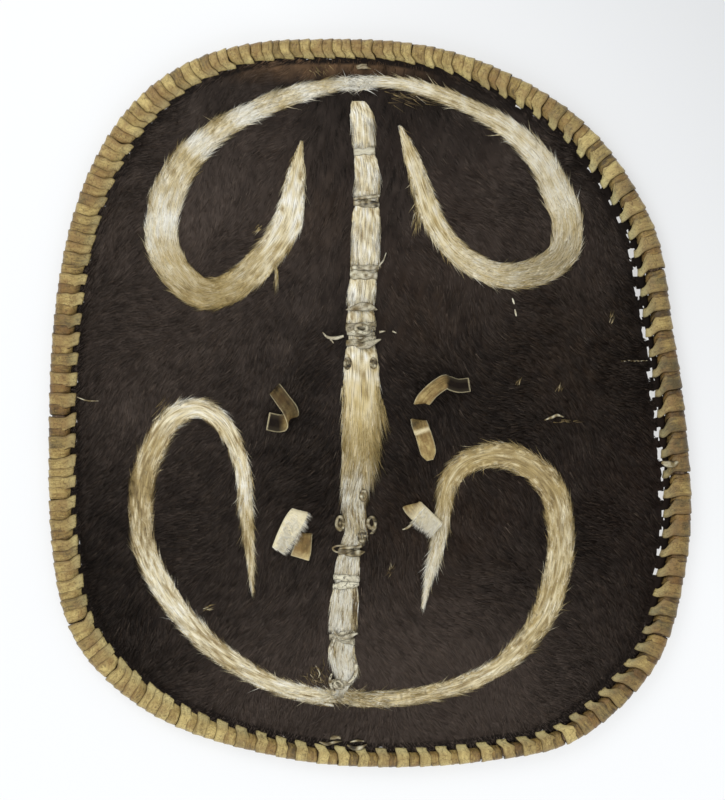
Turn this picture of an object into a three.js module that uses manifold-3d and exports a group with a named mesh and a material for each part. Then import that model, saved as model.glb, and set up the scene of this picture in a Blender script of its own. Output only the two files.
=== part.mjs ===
import * as THREE from "three";
import Module from "manifold-3d";

// A hide shield lying on its hollow back. Millimetres: X across, Y towards the upper end, +Z out of the haired front.
const wasm = await Module();
wasm.setup();
const { Manifold, Mesh: SolidMesh } = wasm;

// Middle of the work in the front view; every place measured on that view is taken from here.
const middle = [370.5, 403.5];
const at = (across, down) => [across - middle[0], middle[1] - down];

// Outer edge of the lashed rim: four rounded quarters that meet at the extreme points.
const edge = {
  top: at(332.5, 38), right: at(693, 499.5), bottom: at(358.5, 769), left: at(47.5, 473.5),
  squareness: { topRight: 2.6, topLeft: 2.85, bottomLeft: 2.45, bottomRight: 2.75 },
  // where the bent stick strays: direction in degrees, spread in degrees, mm outwards
  strays: [[13, 13, -8], [30, 7, 2], [-4, 9, -3], [-31, 8, -4], [-60, 8, 6], [66, 13, -4.5], [-111, 14, -8], [-142, 10, 7]],
};
// The rim's section, in mm across the stick (outwards is +) and up from the floor, at the sides of the shield.
const rim = {
  stickRadius: 8.6, stickHeight: 10.6, clearance: 0.4, flatness: 0.72,
  wrapOut: 11.8, wrapTop: 22.4, grooveDepth: 1.1, soleOut: 6, soleIn: -6.5, boreIn: -6.2,
  fingerTip: -15.4, fingerRoot: -8.4, tuck: 0.1, hideEdge: -10.4, seam: -25,
  holeOut: -11.7, holeIn: -17.6, holeWidth: 9.4,
  pitch: 19.6, stickFaces: 44, lean: 3,
};
const hide = { thickness: 3.4, edgeHeight: 12.4, rise: 50, roundness: 2.5, apex: at(362.5, 433.5), boss: at(361.5, 431.5), bossHeight: 22, bossAcross: 72, bossAlong: 108 };

const lerp = (a, b, t) => a + (b - a) * t;
const smooth = (t) => t * t * (3 - 2 * t);

function edgeRadius(angle) {
  const c = Math.cos(angle), s = Math.sin(angle);
  const outside = (r) => {
    const x = r * c, y = r * s;
    const rightHand = x > (y > 0 ? edge.top[0] : edge.bottom[0]);
    const upper = y > (rightHand ? edge.right[1] : edge.left[1]);
    const end = upper ? edge.top : edge.bottom;
    const toRight = x > end[0];
    const side = toRight ? edge.right : edge.left;
    const power = edge.squareness[(upper ? "top" : "bottom") + (toRight ? "Right" : "Left")];
    return Math.pow(Math.abs((x - end[0]) / (side[0] - end[0])), power) + Math.pow(Math.abs((y - side[1]) / (end[1] - side[1])), power) > 1;
  };
  let low = 150, high = 550;
  for (let i = 0; i < 40; i++) { const mid = (low + high) / 2; if (outside(mid)) high = mid; else low = mid; }
  const degrees = (angle * 180) / Math.PI;
  return edge.strays.reduce((r, [where, spread, out]) => r + out * Math.exp(-Math.pow((((degrees - where + 540) % 360) - 180) / spread, 2)), low);
}

// The stick's centre line, taken in from the outer edge; the rim is flatter at the top and bottom ends.
const steps = 1440;
const rimLine = (() => {
  const outer = Array.from({ length: steps }, (_, i) => {
    const a = (i / steps) * 2 * Math.PI, r = edgeRadius(a);
    return [r * Math.cos(a), r * Math.sin(a)];
  });
  const line = outer.map(([x, y], i) => {
    const [ax, ay] = outer[(i + steps - 8) % steps], [bx, by] = outer[(i + 8) % steps];
    const l = Math.hypot(bx - ax, by - ay), nx = (by - ay) / l, ny = (ax - bx) / l;
    const flat = lerp(rim.flatness, 1, smooth(Math.min(1, Math.abs(nx) * 1.25)));
    return { x: x - nx * rim.wrapOut * flat, y: y - ny * rim.wrapOut * flat, nx, ny, flat };
  });
  let length = 0, turn = 0;
  line.forEach((p, i) => {
    p.length = length; p.turn = turn;
    const q = line[(i + 1) % steps];
    length += Math.hypot(q.x - p.x, q.y - p.y);
    turn += Math.abs(Math.atan2(p.nx * q.ny - p.ny * q.nx, p.nx * q.nx + p.ny * q.ny));
  });
  return { line, length, turn };
})();
const stitches = 2 * Math.round(rimLine.length / rim.pitch / 2);

// The place at part t of the way round, u mm outwards of the stick's centre line.
function round(t, u) {
  const wrapped = t - Math.floor(t), target = wrapped * rimLine.length, { line } = rimLine;
  let low = 0, high = steps;
  while (high - low > 1) { const mid = (low + high) >> 1; if (line[mid].length <= target) low = mid; else high = mid; }
  const a = line[low], b = line[(low + 1) % steps];
  const next = low + 1 === steps ? rimLine.length : b.length, k = (target - a.length) / (next - a.length);
  const mix = (name) => lerp(a[name], b[name], k);
  return [mix("x") + u * mix("flat") * mix("nx"), mix("y") + u * mix("flat") * mix("ny")];
}
// Stations for the stick: closer together where it bends more.
const stickStations = Array.from({ length: rim.stickFaces }, (_, k) => {
  const target = k / rim.stickFaces, { line, length, turn } = rimLine;
  const mixed = (p) => 0.6 * (p.length / length) + 0.4 * (p.turn / turn);
  let i = 0;
  while (i < steps - 1 && mixed(line[i + 1]) <= target) i++;
  return line[i].length / length;
});

// How far out a place is between the apex (0) and the hide's edge (1).
const reach = (() => {
  const rays = Array.from({ length: 720 }, (_, i) => {
    const [x, y] = round(i / 720, rim.hideEdge);
    return [Math.atan2(y - hide.apex[1], x - hide.apex[0]), Math.hypot(x - hide.apex[0], y - hide.apex[1])];
  }).sort((a, b) => a[0] - b[0]);
  return (x, y) => {
    const dx = x - hide.apex[0], dy = y - hide.apex[1], a = Math.atan2(dy, dx);
    let low = 0, high = rays.length;
    while (low < high) { const mid = (low + high) >> 1; if (rays[mid][0] < a) low = mid + 1; else high = mid; }
    const p = rays[(low + 719) % 720], q = rays[low % 720];
    const span = (q[0] - p[0] + 4 * Math.PI) % (2 * Math.PI), k = span ? ((a - p[0] + 4 * Math.PI) % (2 * Math.PI)) / span : 0;
    return Math.hypot(dx, dy) / lerp(p[1], q[1], k);
  };
})();
const dome = (x, y) => hide.edgeHeight + hide.rise * (1 - Math.pow(reach(x, y), hide.roundness));
const boss = (x, y) => hide.bossHeight * Math.exp(-Math.pow((x - hide.boss[0]) / hide.bossAcross, 2) - Math.pow((y - hide.boss[1]) / hide.bossAlong, 2));
const back = (x, y) => dome(x, y) + boss(x, y);
const front = (x, y) => back(x, y) + hide.thickness;

// --- making solids
const newBody = () => ({ points: [], faces: [] });
const addPoint = (body, p) => body.points.push(p) - 1;
const addLine = (body, ts, place) => ts.map((t) => ({ t, id: addPoint(body, place(t)) }));
function bridge(body, a, b) {
  const next = (line, i) => (i + 1 < line.length ? line[i + 1].t : i + 1 === line.length ? 1 + line[0].t : Infinity);
  let i = 0, j = 0;
  while (i < a.length || j < b.length) {
    const p = a[i % a.length].id, q = b[j % b.length].id;
    if (j >= b.length || (i < a.length && next(a, i) <= next(b, j))) { body.faces.push(p, a[(i + 1) % a.length].id, q); i++; }
    else { body.faces.push(p, b[(j + 1) % b.length].id, q); j++; }
  }
}
function solid({ points, faces }) {
  let volume = 0;
  for (let i = 0; i < faces.length; i += 3) {
    const [a, b, c] = [points[faces[i]], points[faces[i + 1]], points[faces[i + 2]]];
    volume += a[0] * (b[1] * c[2] - b[2] * c[1]) - a[1] * (b[0] * c[2] - b[2] * c[0]) + a[2] * (b[0] * c[1] - b[1] * c[0]);
  }
  if (volume < 0) for (let i = 0; i < faces.length; i += 3) [faces[i + 1], faces[i + 2]] = [faces[i + 2], faces[i + 1]];
  return new Manifold(new SolidMesh({ numProp: 3, vertProperties: new Float32Array(points.flat()), triVerts: new Uint32Array(faces) }));
}
// A closed body through rings of equally many points, capped at both ends or led back to its first ring.
function loft(rings, roundAgain = false) {
  const body = newBody(), n = rings[0].length;
  const ids = rings.map((ring) => ring.map((p) => addPoint(body, p)));
  for (let k = 0; k + (roundAgain ? 0 : 1) < ids.length; k++)
    for (let i = 0; i < n; i++) {
      const j = (i + 1) % n, now = ids[k], next = ids[(k + 1) % ids.length];
      // opposite sides are split along the same diagonal, so a thin twisted strip keeps its thickness
      if (i < n / 2) body.faces.push(now[i], now[j], next[j], now[i], next[j], next[i]);
      else body.faces.push(now[i], now[j], next[i], now[j], next[j], next[i]);
    }
  const last = ids[ids.length - 1];
  if (!roundAgain) for (let i = 1; i + 1 < n; i++) body.faces.push(ids[0][0], ids[0][i + 1], ids[0][i], last[0], last[i], last[i + 1]);
  return solid(body);
}
const block = (low, high) => Manifold.cube([high[0] - low[0], high[1] - low[1], high[2] - low[2]]).translate(low);

const part = new THREE.Group();
part.name = "hide_shield";
const finishes = {
  darkHide: [0x2e2723, 0.75], lashing: [0xb99a62, 0.6], stick: [0x8b6a45, 0.7], paleHair: [0xcfc6ad, 0.8], thong: [0xbfae82, 0.6], strap: [0xb0915c, 0.65],
};
function add(name, made, finish) {
  const { numProp, numVert, vertProperties, triVerts } = made.getMesh(), flat = new Float32Array(numVert * 3);
  for (let i = 0; i < numVert; i++) flat.set(vertProperties.subarray(i * numProp, i * numProp + 3), i * 3);
  const geometry = new THREE.BufferGeometry().setAttribute("position", new THREE.BufferAttribute(flat, 3)).setIndex(new THREE.BufferAttribute(new Uint32Array(triVerts), 1));
  geometry.computeVertexNormals();
  const mesh = new THREE.Mesh(geometry, new THREE.MeshStandardMaterial({ color: finishes[finish][0], roughness: finishes[finish][1] }));
  mesh.name = name;
  part.add(mesh);
}

// --- rim: one bent stick, and the rawhide strip wound round it, its turns tucked into the hide's holes from both sides
const hexagon = (radius) => [120, 60, 0, 300, 240, 180].map((d) => [radius * Math.cos((d * Math.PI) / 180), rim.stickHeight + radius * Math.sin((d * Math.PI) / 180)]);
const onRim = (u, z) => (t) => [...round(t, u), z];
{
  const body = newBody();
  const lines = hexagon(rim.stickRadius).map(([u, z]) => addLine(body, stickStations, onRim(u, z)));
  lines.forEach((line, i) => bridge(body, line, lines[(i + 1) % lines.length]));
  add("rim_hoop", solid(body), "stick");
}
const stitchAt = (k) => (k + 0.5) / stitches, leanShare = rim.lean / rimLine.length;
const fingerTop = (t) => { const [x, y] = round(t, rim.fingerTip); return front(x, y) - rim.tuck; };
const fingerSole = (t) => { const [x, y] = round(t, rim.fingerTip); return back(x, y) + rim.tuck; };
{
  const body = newBody(), fine = [];
  for (let k = 0; k < stitches; k++) fine.push(k / stitches, stitchAt(k));
  const isFinger = (t) => Math.round(t * stitches * 2) % 2 === 1;
  const wound = (ridge, groove, lean = 0) => addLine(body, fine, (t) => {
    const [u, z] = isFinger(t) ? ridge : groove, share = isFinger(t) ? lean * leanShare : 0;
    return [...round(t + share, u), typeof z === "function" ? z(t) : z];
  });
  const d = rim.grooveDepth, bore = hexagon(rim.stickRadius + rim.clearance).slice(0, 5);
  const coarse = (u, z) => addLine(body, stickStations, onRim(u, z));
  const byStitch = (u, z) => addLine(body, Array.from({ length: stitches }, (_, k) => k / stitches), onRim(u, z));
  const lines = [
    wound([rim.fingerTip, fingerTop], [rim.fingerRoot, rim.wrapTop - d - 0.5], 1),
    wound([-1.5, rim.wrapTop], [-1.5, rim.wrapTop - d]),
    wound([7.6, rim.wrapTop - 3], [6.9, rim.wrapTop - 3 - d]),
    wound([rim.wrapOut, rim.stickHeight - 0.4], [rim.wrapOut - d, rim.stickHeight - 0.4]),
    coarse(rim.soleOut, 0),
    byStitch(rim.soleIn, 0),
    wound([rim.fingerTip, fingerSole], [rim.fingerRoot, 3.2], 1),
    ...bore.reverse().map(([u, z]) => (u < 0 ? byStitch(rim.boreIn, z) : coarse(u, z))),
  ];
  lines.forEach((line, i) => bridge(body, line, lines[(i + 1) % lines.length]));
  add("rim_lashing", solid(body), "lashing");
}

// --- what crosses the hide: lines measured on the front view as [across, down]
const stripLine = [[361, 97], [366, 150], [368, 200], [365, 265], [361, 300], [361, 340], [362, 400], [360, 450], [353, 500], [350, 545], [347, 600], [344, 650], [342, 688]];
const stripHalf = [[97, 9], [108, 11], [150, 12], [200, 13.5], [262, 14], [300, 14], [340, 15], [375, 17.5], [430, 18], [475, 16], [500, 14], [545, 13], [600, 13.5], [650, 14], [676, 12], [688, 7]];
const along = (pairs, value) => {
  const i = Math.max(1, pairs.findIndex(([v]) => v >= value)), [a, b] = [pairs[i - 1], pairs[i]];
  return lerp(a[1], b[1], (value - a[0]) / (b[0] - a[0]));
};
const lineX = (down) => along(stripLine.map(([x, y]) => [y, x]), Math.min(688, Math.max(97, down)));
const strip = { thickness: 2.6, gap: 0.5 };
const staff = { top: 61, bottom: 745, tieFromTop: 5.5, tieFromBottom: 8, midRadius: 9, endRadius: 4.6, gap: 0.9, faces: 18 };
const staffRadius = (down) => lerp(staff.endRadius, staff.midRadius, smooth(1 - Math.abs(down - 404) / 345));
const staffX = (down) => { const [x] = at(lineX(down) - (down > 688 ? (down - 688) * 0.12 : 0), down); return x; };
// the staff touches the hide along the ties and leaves a hand gap under the boss
const staffHeight = (down) => { const [, y] = at(0, down), x = staffX(down); return dome(x, y) - staffRadius(down) - staff.gap; };
// thongs round staff and strip: [down, length along the staff, knot height]
const ties = [[153, 6, 0.5], [203, 9, 0.8], [274, 12, 1.2], [336, 20, 4], [549, 11, 0.8], [580, 12, 1.4], [635, 12, 2.2], [681, 9, 2]];
const endTies = [[staff.top + staff.tieFromTop, 5, 0.3], [staff.bottom - staff.tieFromBottom, 5.5, 0.6]];
const tieSize = { thick: 1.8, clearance: 0.5 };

// straps behind the staff: where they come up through the hide, [across, down, half length of slit, angle of slit]
const slits = {
  upperLeft: [277, 390.5, 9.4, 50], upperRight: [421, 402, 10.5, 6], thong: [417.5, 421, 10, -10],
  lowerLeft: [300.5, 510.5, 10.5, -14], lowerRight: [411, 504, 12, 12], tail: [306, 533, 9, -4],
};

// --- hide panel
{
  const body = newBody(), joints = Array.from({ length: stitches }, (_, k) => k / stitches);
  const faces = [front, back].map((height) => {
    const place = (u) => (t) => { const [x, y] = round(t, u); return [x, y, height(x, y)]; };
    const outer = addLine(body, joints, place(rim.hideEdge)), seam = addLine(body, joints, place(rim.seam));
    const rings = [[0.85, 42], [0.67, 32], [0.52, 24], [0.4, 20], [0.3, 16], [0.21, 12], [0.13, 9], [0.06, 6]].map(([share, count]) =>
      addLine(body, Array.from({ length: count }, (_, k) => k / count), (t) => {
        const [x, y] = round(t, rim.hideEdge), px = lerp(hide.apex[0], x, share), py = lerp(hide.apex[1], y, share);
        return [px, py, height(px, py)];
      }));
    const start = body.faces.length;
    [seam, ...rings].forEach((line, i, all) => { if (i + 1 < all.length) bridge(body, line, all[i + 1]); });
    const last = rings[rings.length - 1], apex = addPoint(body, [...hide.apex, height(...hide.apex)]);
    last.forEach((p, i) => body.faces.push(p.id, last[(i + 1) % last.length].id, apex));
    const holes = joints.map((_, k) => {
      const t = stitchAt(k) + leanShare, half = rim.holeWidth / 2 / rimLine.length;
      return [[t - half, rim.holeOut], [t + half, rim.holeOut], [t, rim.holeIn]].map(([share, u]) => addPoint(body, place(u)(share)));
    });
    holes.forEach((hole, k) => {
      const n = (k + 1) % stitches, contour = [outer[k].id, outer[n].id, seam[n].id, seam[k].id], all = [...contour, ...hole];
      const flat = (id) => new THREE.Vector2(body.points[id][0], body.points[id][1]);
      THREE.ShapeUtils.triangulateShape(contour.map(flat), [hole.map(flat)]).forEach(([a, b, c]) => {
        const [p, q, r] = [all[a], all[b], all[c]], [A, B, C] = [p, q, r].map((id) => body.points[id]);
        const left = (B[0] - A[0]) * (C[1] - A[1]) - (B[1] - A[1]) * (C[0] - A[0]) > 0;
        body.faces.push(p, ...(left ? [q, r] : [r, q]));
      });
    });
    // the front looks up, the back looks down
    const end = body.faces.length;
    for (let i = start; i < end; i += 3) {
      const [A, B, C] = [0, 1, 2].map((j) => body.points[body.faces[i + j]]);
      const left = (B[0] - A[0]) * (C[1] - A[1]) - (B[1] - A[1]) * (C[0] - A[0]) > 0;
      if (left !== (height === front)) [body.faces[i + 1], body.faces[i + 2]] = [body.faces[i + 2], body.faces[i + 1]];
    }
    return { outer, holes };
  });
  const wall = (a, b, c, d) => body.faces.push(a, c, b, b, c, d);
  const [up, down] = faces;
  up.outer.forEach((p, k) => { const n = (k + 1) % stitches; wall(p.id, up.outer[n].id, down.outer[k].id, down.outer[n].id); });
  up.holes.forEach((hole, k) => hole.forEach((id, i) => {
    const j = (i + 1) % 3, a = body.points[hole[0]], b = body.points[hole[1]], c = body.points[hole[2]];
    const left = (b[0] - a[0]) * (c[1] - a[1]) - (b[1] - a[1]) * (c[0] - a[0]) > 0;
    if (left) wall(hole[j], id, down.holes[k][j], down.holes[k][i]); else wall(id, hole[j], down.holes[k][i], down.holes[k][j]);
  }));
  let panel = solid(body);
  const cuts = [];
  for (const [down, length] of [...ties, ...endTies])
    for (const side of [-1, 1]) {
      const spans = [-1, 1].flatMap((end) => {
        const place = down + (end * length) / 2, x = staffX(place);
        return [front, back].flatMap((height) => [0, tieSize.thick].map((grow) => x + side * legOffset(place, height(x + side * tieHalf(place), at(0, place)[1]), grow)));
      });
      const [, y] = at(0, down), x = Math.min(...spans), z = front(x, y);
      cuts.push(block([x - tieSize.clearance, y - length / 2 - tieSize.clearance, z - 14], [Math.max(...spans) + tieSize.clearance, y + length / 2 + tieSize.clearance, z + 10]));
    }
  for (const [across, down, half, angle] of Object.values(slits)) {
    const [x, y] = at(across, down);
    cuts.push(block([-half, -3.2, -9], [half, 3.2, 9]).rotate([0, 0, angle]).translate([x, y, front(x, y)]));
  }
  panel = panel.subtract(Manifold.union(cuts));
  add("hide_panel", panel, "darkHide");
}
function overStrip(down) { return down > 95 && down < 690; }
function grip(down) { return 2.4 * Math.exp(-Math.pow((down - 428) / 55, 2)); }
function tieHalf(down) { return Math.max(overStrip(down) ? along(stripHalf, down) : 0, staffRadius(down)) + 1.6; }
function tieTop(down) { const x = staffX(down); return front(x, at(0, down)[1]) + (overStrip(down) ? 0.75 + strip.thickness + grip(down) : 0.3) + 1.3; }
function tieLow(down) { return Math.max((staffRadius(down) + 0.9) * 1.02, tieHalf(down) - 2); }
// how far a tie's leg stands off the staff's line at a height, on its inner side (grow 0) or outer side
function legOffset(down, height, grow) {
  const low = staffHeight(down), high = tieTop(down) - 1.2;
  return lerp(tieLow(down) + grow, tieHalf(down) + grow, (height - low) / (high - low));
}

// --- the staff down the back
{
  const rings = Array.from({ length: staff.faces + 1 }, (_, i) => {
    const down = lerp(staff.top, staff.bottom, i / staff.faces), [, y] = at(0, down), r = staffRadius(down);
    return Array.from({ length: 6 }, (_, k) => [staffX(down) + r * Math.cos((k * Math.PI) / 3), y, staffHeight(down) + r * Math.sin((k * Math.PI) / 3)]);
  });
  add("back_staff", loft(rings), "stick");
}

// --- pale haired strips laid on the front
function laid(name, points, halves, count, thickness, gap) {
  const curve = new THREE.CatmullRomCurve3(points.map(([across, down]) => new THREE.Vector3(...at(across, down), 0)), false, "centripetal");
  const rings = Array.from({ length: count + 1 }, (_, i) => {
    const t = i / count, p = curve.getPointAt(t), d = curve.getTangentAt(t), nx = -d.y, ny = d.x, half = along(halves, t === 0 ? 1e-6 : t);
    const left = [p.x + nx * half, p.y + ny * half], right = [p.x - nx * half, p.y - ny * half];
    const lift = (q, h) => [...q, front(...q) + gap + h];
    return [lift(left, 0), lift(left, thickness), lift(right, thickness), lift(right, 0)];
  });
  add(name, loft(rings), "paleHair");
}
laid("scroll_upper_left",
  [[301, 147], [296, 179], [288, 224], [265, 260], [235, 287], [206, 295], [179, 276], [163, 245], [164, 214], [173, 184], [194, 153], [224, 128], [265, 107], [306, 92], [352, 82]],
  [[0, 2], [0.05, 8], [0.14, 14], [0.3, 14], [0.5, 16], [0.62, 16], [0.75, 11], [0.9, 9], [1, 9]], 18, 2.4, 0.8);
laid("scroll_upper_right",
  [[401, 131], [414, 166], [422, 194], [434, 224], [452, 250], [478, 269], [508, 277], [542, 270], [564, 250], [566, 219], [557, 194], [542, 163], [521, 140], [498, 122], [465, 105], [432, 92], [401, 84], [359, 81]],
  [[0, 2], [0.05, 7], [0.14, 10], [0.3, 11], [0.42, 14], [0.55, 15.5], [0.68, 11], [0.78, 7.5], [0.9, 8], [1, 9]], 18, 2.4, 0.8);
laid("scroll_lower_left",
  [[254, 591], [251, 553], [247, 507], [245, 477], [237, 446], [222, 421], [199, 408], [173, 419], [156, 446], [145, 477], [142, 510], [145, 543], [158, 576], [179, 609], [209, 642], [245, 668], [281, 686], [331, 698]],
  [[0, 2], [0.08, 5], [0.2, 7.5], [0.32, 9.5], [0.45, 12], [0.6, 11.5], [0.75, 11], [0.9, 8.5], [1, 8]], 18, 2.4, 0.8);
laid("scroll_lower_right",
  [[422, 607], [429, 573], [437, 543], [442, 512], [447, 484], [460, 465], [483, 455], [508, 456], [534, 469], [552, 492], [559, 522], [559, 553], [553, 584], [541, 617], [516, 650], [485, 673], [447, 688], [401, 697], [353, 699]],
  [[0, 2], [0.08, 6], [0.18, 8], [0.3, 12], [0.42, 13], [0.6, 13], [0.75, 9], [0.9, 8], [1, 7]], 18, 2.4, 0.8);
{
  const rings = stations(97, 688, 27).map((down) => {
    const x = staffX(down), [, y] = at(0, down), half = along(stripHalf, down);
    const lift = (dx, h) => [x + dx, y, front(x + dx, y) + 0.75 + h];
    return [lift(half, 0), lift(half, 1.8), lift(0, strip.thickness + grip(down)), lift(-half, 1.8), lift(-half, 0), lift(0, 0)];
  });
  add("centre_strip", loft(rings), "paleHair");
}
function stations(from, to, count) { return Array.from({ length: count + 1 }, (_, i) => lerp(from + 0.01, to - 0.01, i / count)); }

// --- thongs round the staff and through the hide
function loop(name, [down, length, knot]) {
  const face = (grow, shift) => {
    const place = down - shift, [, y] = at(0, place), x = staffX(place), half = tieHalf(place), top = tieTop(place), z = staffHeight(place), r = staffRadius(place) + 0.9, low = tieLow(place);
    return [[half + grow, top - 1.2], [half * 0.5, top + grow * (1 + knot / 2)], [-half * 0.5, top + grow * (1 + knot / 2)], [-half - grow, top - 1.2], [-low - grow, z], [-r * 0.6, z - r * 0.98 - grow], [r * 0.6, z - r * 0.98 - grow], [low + grow, z]]
      .map(([dx, dz]) => [x + dx, y, dz]);
  };
  add(name, loft([face(0, -length / 2), face(tieSize.thick, -length / 2), face(tieSize.thick, length / 2), face(0, length / 2)], true), "thong");
}
ties.forEach((tie, i) => loop("staff_tie_" + (i + 1), tie));
loop("staff_end_tie_top", endTies[0]);
loop("staff_end_tie_bottom", endTies[1]);

// --- straps: rings of [across, down, height over the hide's front, half width, direction of the width in degrees, tilt of the width in degrees]
function strap(name, places, thickness) {
  const centre = places.map(([across, down, up]) => { const [x, y] = at(across, down); return new THREE.Vector3(x, y, front(x, y) + up); });
  const rings = places.map(([, , , half, turn, tilt = 0], i) => {
    const a = centre[Math.max(0, i - 1)], b = centre[Math.min(centre.length - 1, i + 1)], forward = b.clone().sub(a).normalize();
    const width = new THREE.Vector3(Math.cos((turn * Math.PI) / 180) * Math.cos((tilt * Math.PI) / 180), Math.sin((turn * Math.PI) / 180) * Math.cos((tilt * Math.PI) / 180), Math.sin((tilt * Math.PI) / 180));
    const wide = width.sub(forward.clone().multiplyScalar(width.dot(forward))).normalize(), thick = wide.clone().cross(forward).normalize();
    return [[1, 1], [1, -1], [-1, -1], [-1, 1]].map(([w, h]) => centre[i].clone().addScaledVector(wide, w * half).addScaledVector(thick, (h * thickness) / 2).toArray());
  });
  add(name, loft(rings), "strap");
}
strap("upper_grip_strap", [
  [269, 421, 4.2, 9, 125], [280, 423, 3.4, 9, 105], [288, 421, 6.5, 8, 62], [292, 412, 9.5, 8, 42], [284, 400, 7, 7.6, 42], [277, 390.5, 3, 7.4, 50], [277, 390.5, -9, 7.4, 50],
  [287, 392, -24, 7.4, 72], [318, 398, -38, 7.4, 88], [345, 400, -45, 7.4, 90], [378, 401, -46, 7.4, 90], [404, 402, -31, 7.6, 60],
  [421, 402, -10, 8, 6], [421, 402, 3, 8, 6], [431, 391, 9, 7.4, -34], [445, 382, 12, 7.4, -62], [457, 386, 8.5, 7, -70], [468, 385, 5.5, 7, -74],
], 2);
strap("lower_grip_strap", [
  [279, 547.5, 3.6, 6.5, -19], [287, 534, 7, 9, -17], [295, 520, 8, 10, -16], [300.5, 510.5, 3, 8.6, -14], [300.5, 510.5, -10, 8.6, -14],
  [312, 510.5, -27, 8, -55], [333, 510, -41, 8, -85], [352, 509.5, -47, 8, -90], [372, 508.5, -44, 8, -90], [396, 506, -28, 8.4, -42],
  [411, 504, -11, 9.4, 12], [411, 504, 3, 9.4, 12], [418, 512, 7.5, 9.6, 26], [436, 527, 5.5, 8, 43],
], 2.2);
strap("grip_thong", [
  [429, 459, 3.2, 5.5, 0], [426, 446, 5.5, 8.2, -6], [421, 431, 6.5, 8.2, -8], [417.5, 421, 3, 8, -10], [417.5, 421, -9, 8, -10], [409, 425, -19, 8, -10],
], 2);
strap("grip_tail", [[300.5, 556, 2.6, 9.6, -4], [304, 545, 3.6, 8.6, -4], [306, 533, 2.4, 7, -4], [306, 533, -9, 7, -4], [314, 529, -16, 7, -4]], 1.8);

export default part;
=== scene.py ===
import bpy
import math
import numpy as np
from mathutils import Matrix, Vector


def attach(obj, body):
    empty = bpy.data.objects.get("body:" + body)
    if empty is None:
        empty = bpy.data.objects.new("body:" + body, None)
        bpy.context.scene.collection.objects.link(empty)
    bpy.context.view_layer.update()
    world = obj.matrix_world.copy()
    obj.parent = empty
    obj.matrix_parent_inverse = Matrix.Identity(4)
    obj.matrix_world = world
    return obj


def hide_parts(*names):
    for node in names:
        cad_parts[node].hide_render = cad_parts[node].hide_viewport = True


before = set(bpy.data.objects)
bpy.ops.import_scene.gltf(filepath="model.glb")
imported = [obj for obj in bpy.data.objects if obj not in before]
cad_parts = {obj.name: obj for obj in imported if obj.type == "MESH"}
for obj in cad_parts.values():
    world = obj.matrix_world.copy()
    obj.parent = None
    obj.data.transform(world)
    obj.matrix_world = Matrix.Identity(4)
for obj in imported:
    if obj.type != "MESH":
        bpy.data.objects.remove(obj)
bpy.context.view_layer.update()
chance = np.random.default_rng(11)
print("frame loaded")

# shape of the shield, in mm, as in the solids; x across, y up the front view, z out of the hair
middle = (370.5, 403.5)  # centre of the work in the front view
outline = {
    "top": (-38, 365.5), "right": (322.5, -96), "bottom": (-12, -365.5), "left": (-323, -70),
    "squareness": {"topRight": 2.6, "topLeft": 2.85, "bottomLeft": 2.45, "bottomRight": 2.75},
    "strays": [(13, 13, -8), (30, 7, 2), (-4, 9, -3), (-31, 8, -4), (-60, 8, 6), (66, 13, -4.5),
        (-111, 14, -8), (-142, 10, 7)],
}
rim = {"wrapOut": 11.8, "flatness": 0.72, "stickHeight": 10.6, "stitches": 108, "lean": 3, "hideEdge": -10.4}
panel = {"thickness": 3.4, "edgeHeight": 12.4, "rise": 50, "roundness": 2.5, "apex": (-8, -30),
    "boss": (-9, -28), "bossHeight": 22, "bossAcross": 72, "bossAlong": 108, "ripple": 0.45}


def at(across, down):
    return across - middle[0], middle[1] - down


def smooth(t):
    t = np.clip(t, 0, 1)
    return t * t * (3 - 2 * t)


def edgeRadius(angle):
    c, s = np.cos(angle), np.sin(angle)
    ends = [outline[key] for key in ("top", "right", "bottom", "left")]
    (topX, topY), (rightX, rightY), (bottomX, bottomY), (leftX, leftY) = ends
    power = outline["squareness"]
    low, high = np.full_like(angle, 150.0), np.full_like(angle, 550.0)
    for _ in range(40):
        r = (low + high) / 2
        x, y = r * c, r * s
        upper = y > np.where(x > np.where(y > 0, topX, bottomX), rightY, leftY)
        endX, endY = np.where(upper, topX, bottomX), np.where(upper, topY, bottomY)
        toRight = x > endX
        sideX, sideY = np.where(toRight, rightX, leftX), np.where(toRight, rightY, leftY)
        upperPower = np.where(toRight, power["topRight"], power["topLeft"])
        lowerPower = np.where(toRight, power["bottomRight"], power["bottomLeft"])
        p = np.where(upper, upperPower, lowerPower)
        out = np.abs((x - endX) / (sideX - endX)) ** p + np.abs((y - sideY) / (endY - sideY)) ** p > 1
        high, low = np.where(out, r, high), np.where(out, low, r)
    degrees = np.degrees(angle)
    for where, spread, move in outline["strays"]:
        low = low + move * np.exp(-((((degrees - where + 540) % 360) - 180) / spread) ** 2)
    return low


def makeRimLine():
    steps = 1440
    angle = np.arange(steps) / steps * 2 * np.pi
    r = edgeRadius(angle)
    x, y = r * np.cos(angle), r * np.sin(angle)
    dx, dy = np.roll(x, -8) - np.roll(x, 8), np.roll(y, -8) - np.roll(y, 8)
    size = np.hypot(dx, dy)
    nx, ny = dy / size, -dx / size
    flat = rim["flatness"] + (1 - rim["flatness"]) * smooth(np.minimum(1, np.abs(nx) * 1.25))
    x, y = x - nx * rim["wrapOut"] * flat, y - ny * rim["wrapOut"] * flat
    gaps = np.hypot(np.roll(x, -1) - x, np.roll(y, -1) - y)
    total = gaps.sum()
    t = np.concatenate([[0], np.cumsum(gaps)[:-1]]) / total
    return {"t": t, "x": x, "y": y, "nx": nx, "ny": ny, "flat": flat, "length": total}


rimLine = makeRimLine()


def rimValue(name, t):
    return np.interp(t, rimLine["t"], rimLine[name], period=1)


def onRim(t, u):
    flat = rimValue("flat", t)
    return rimValue("x", t) + u * flat * rimValue("nx", t), rimValue("y", t) + u * flat * rimValue("ny", t)


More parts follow.
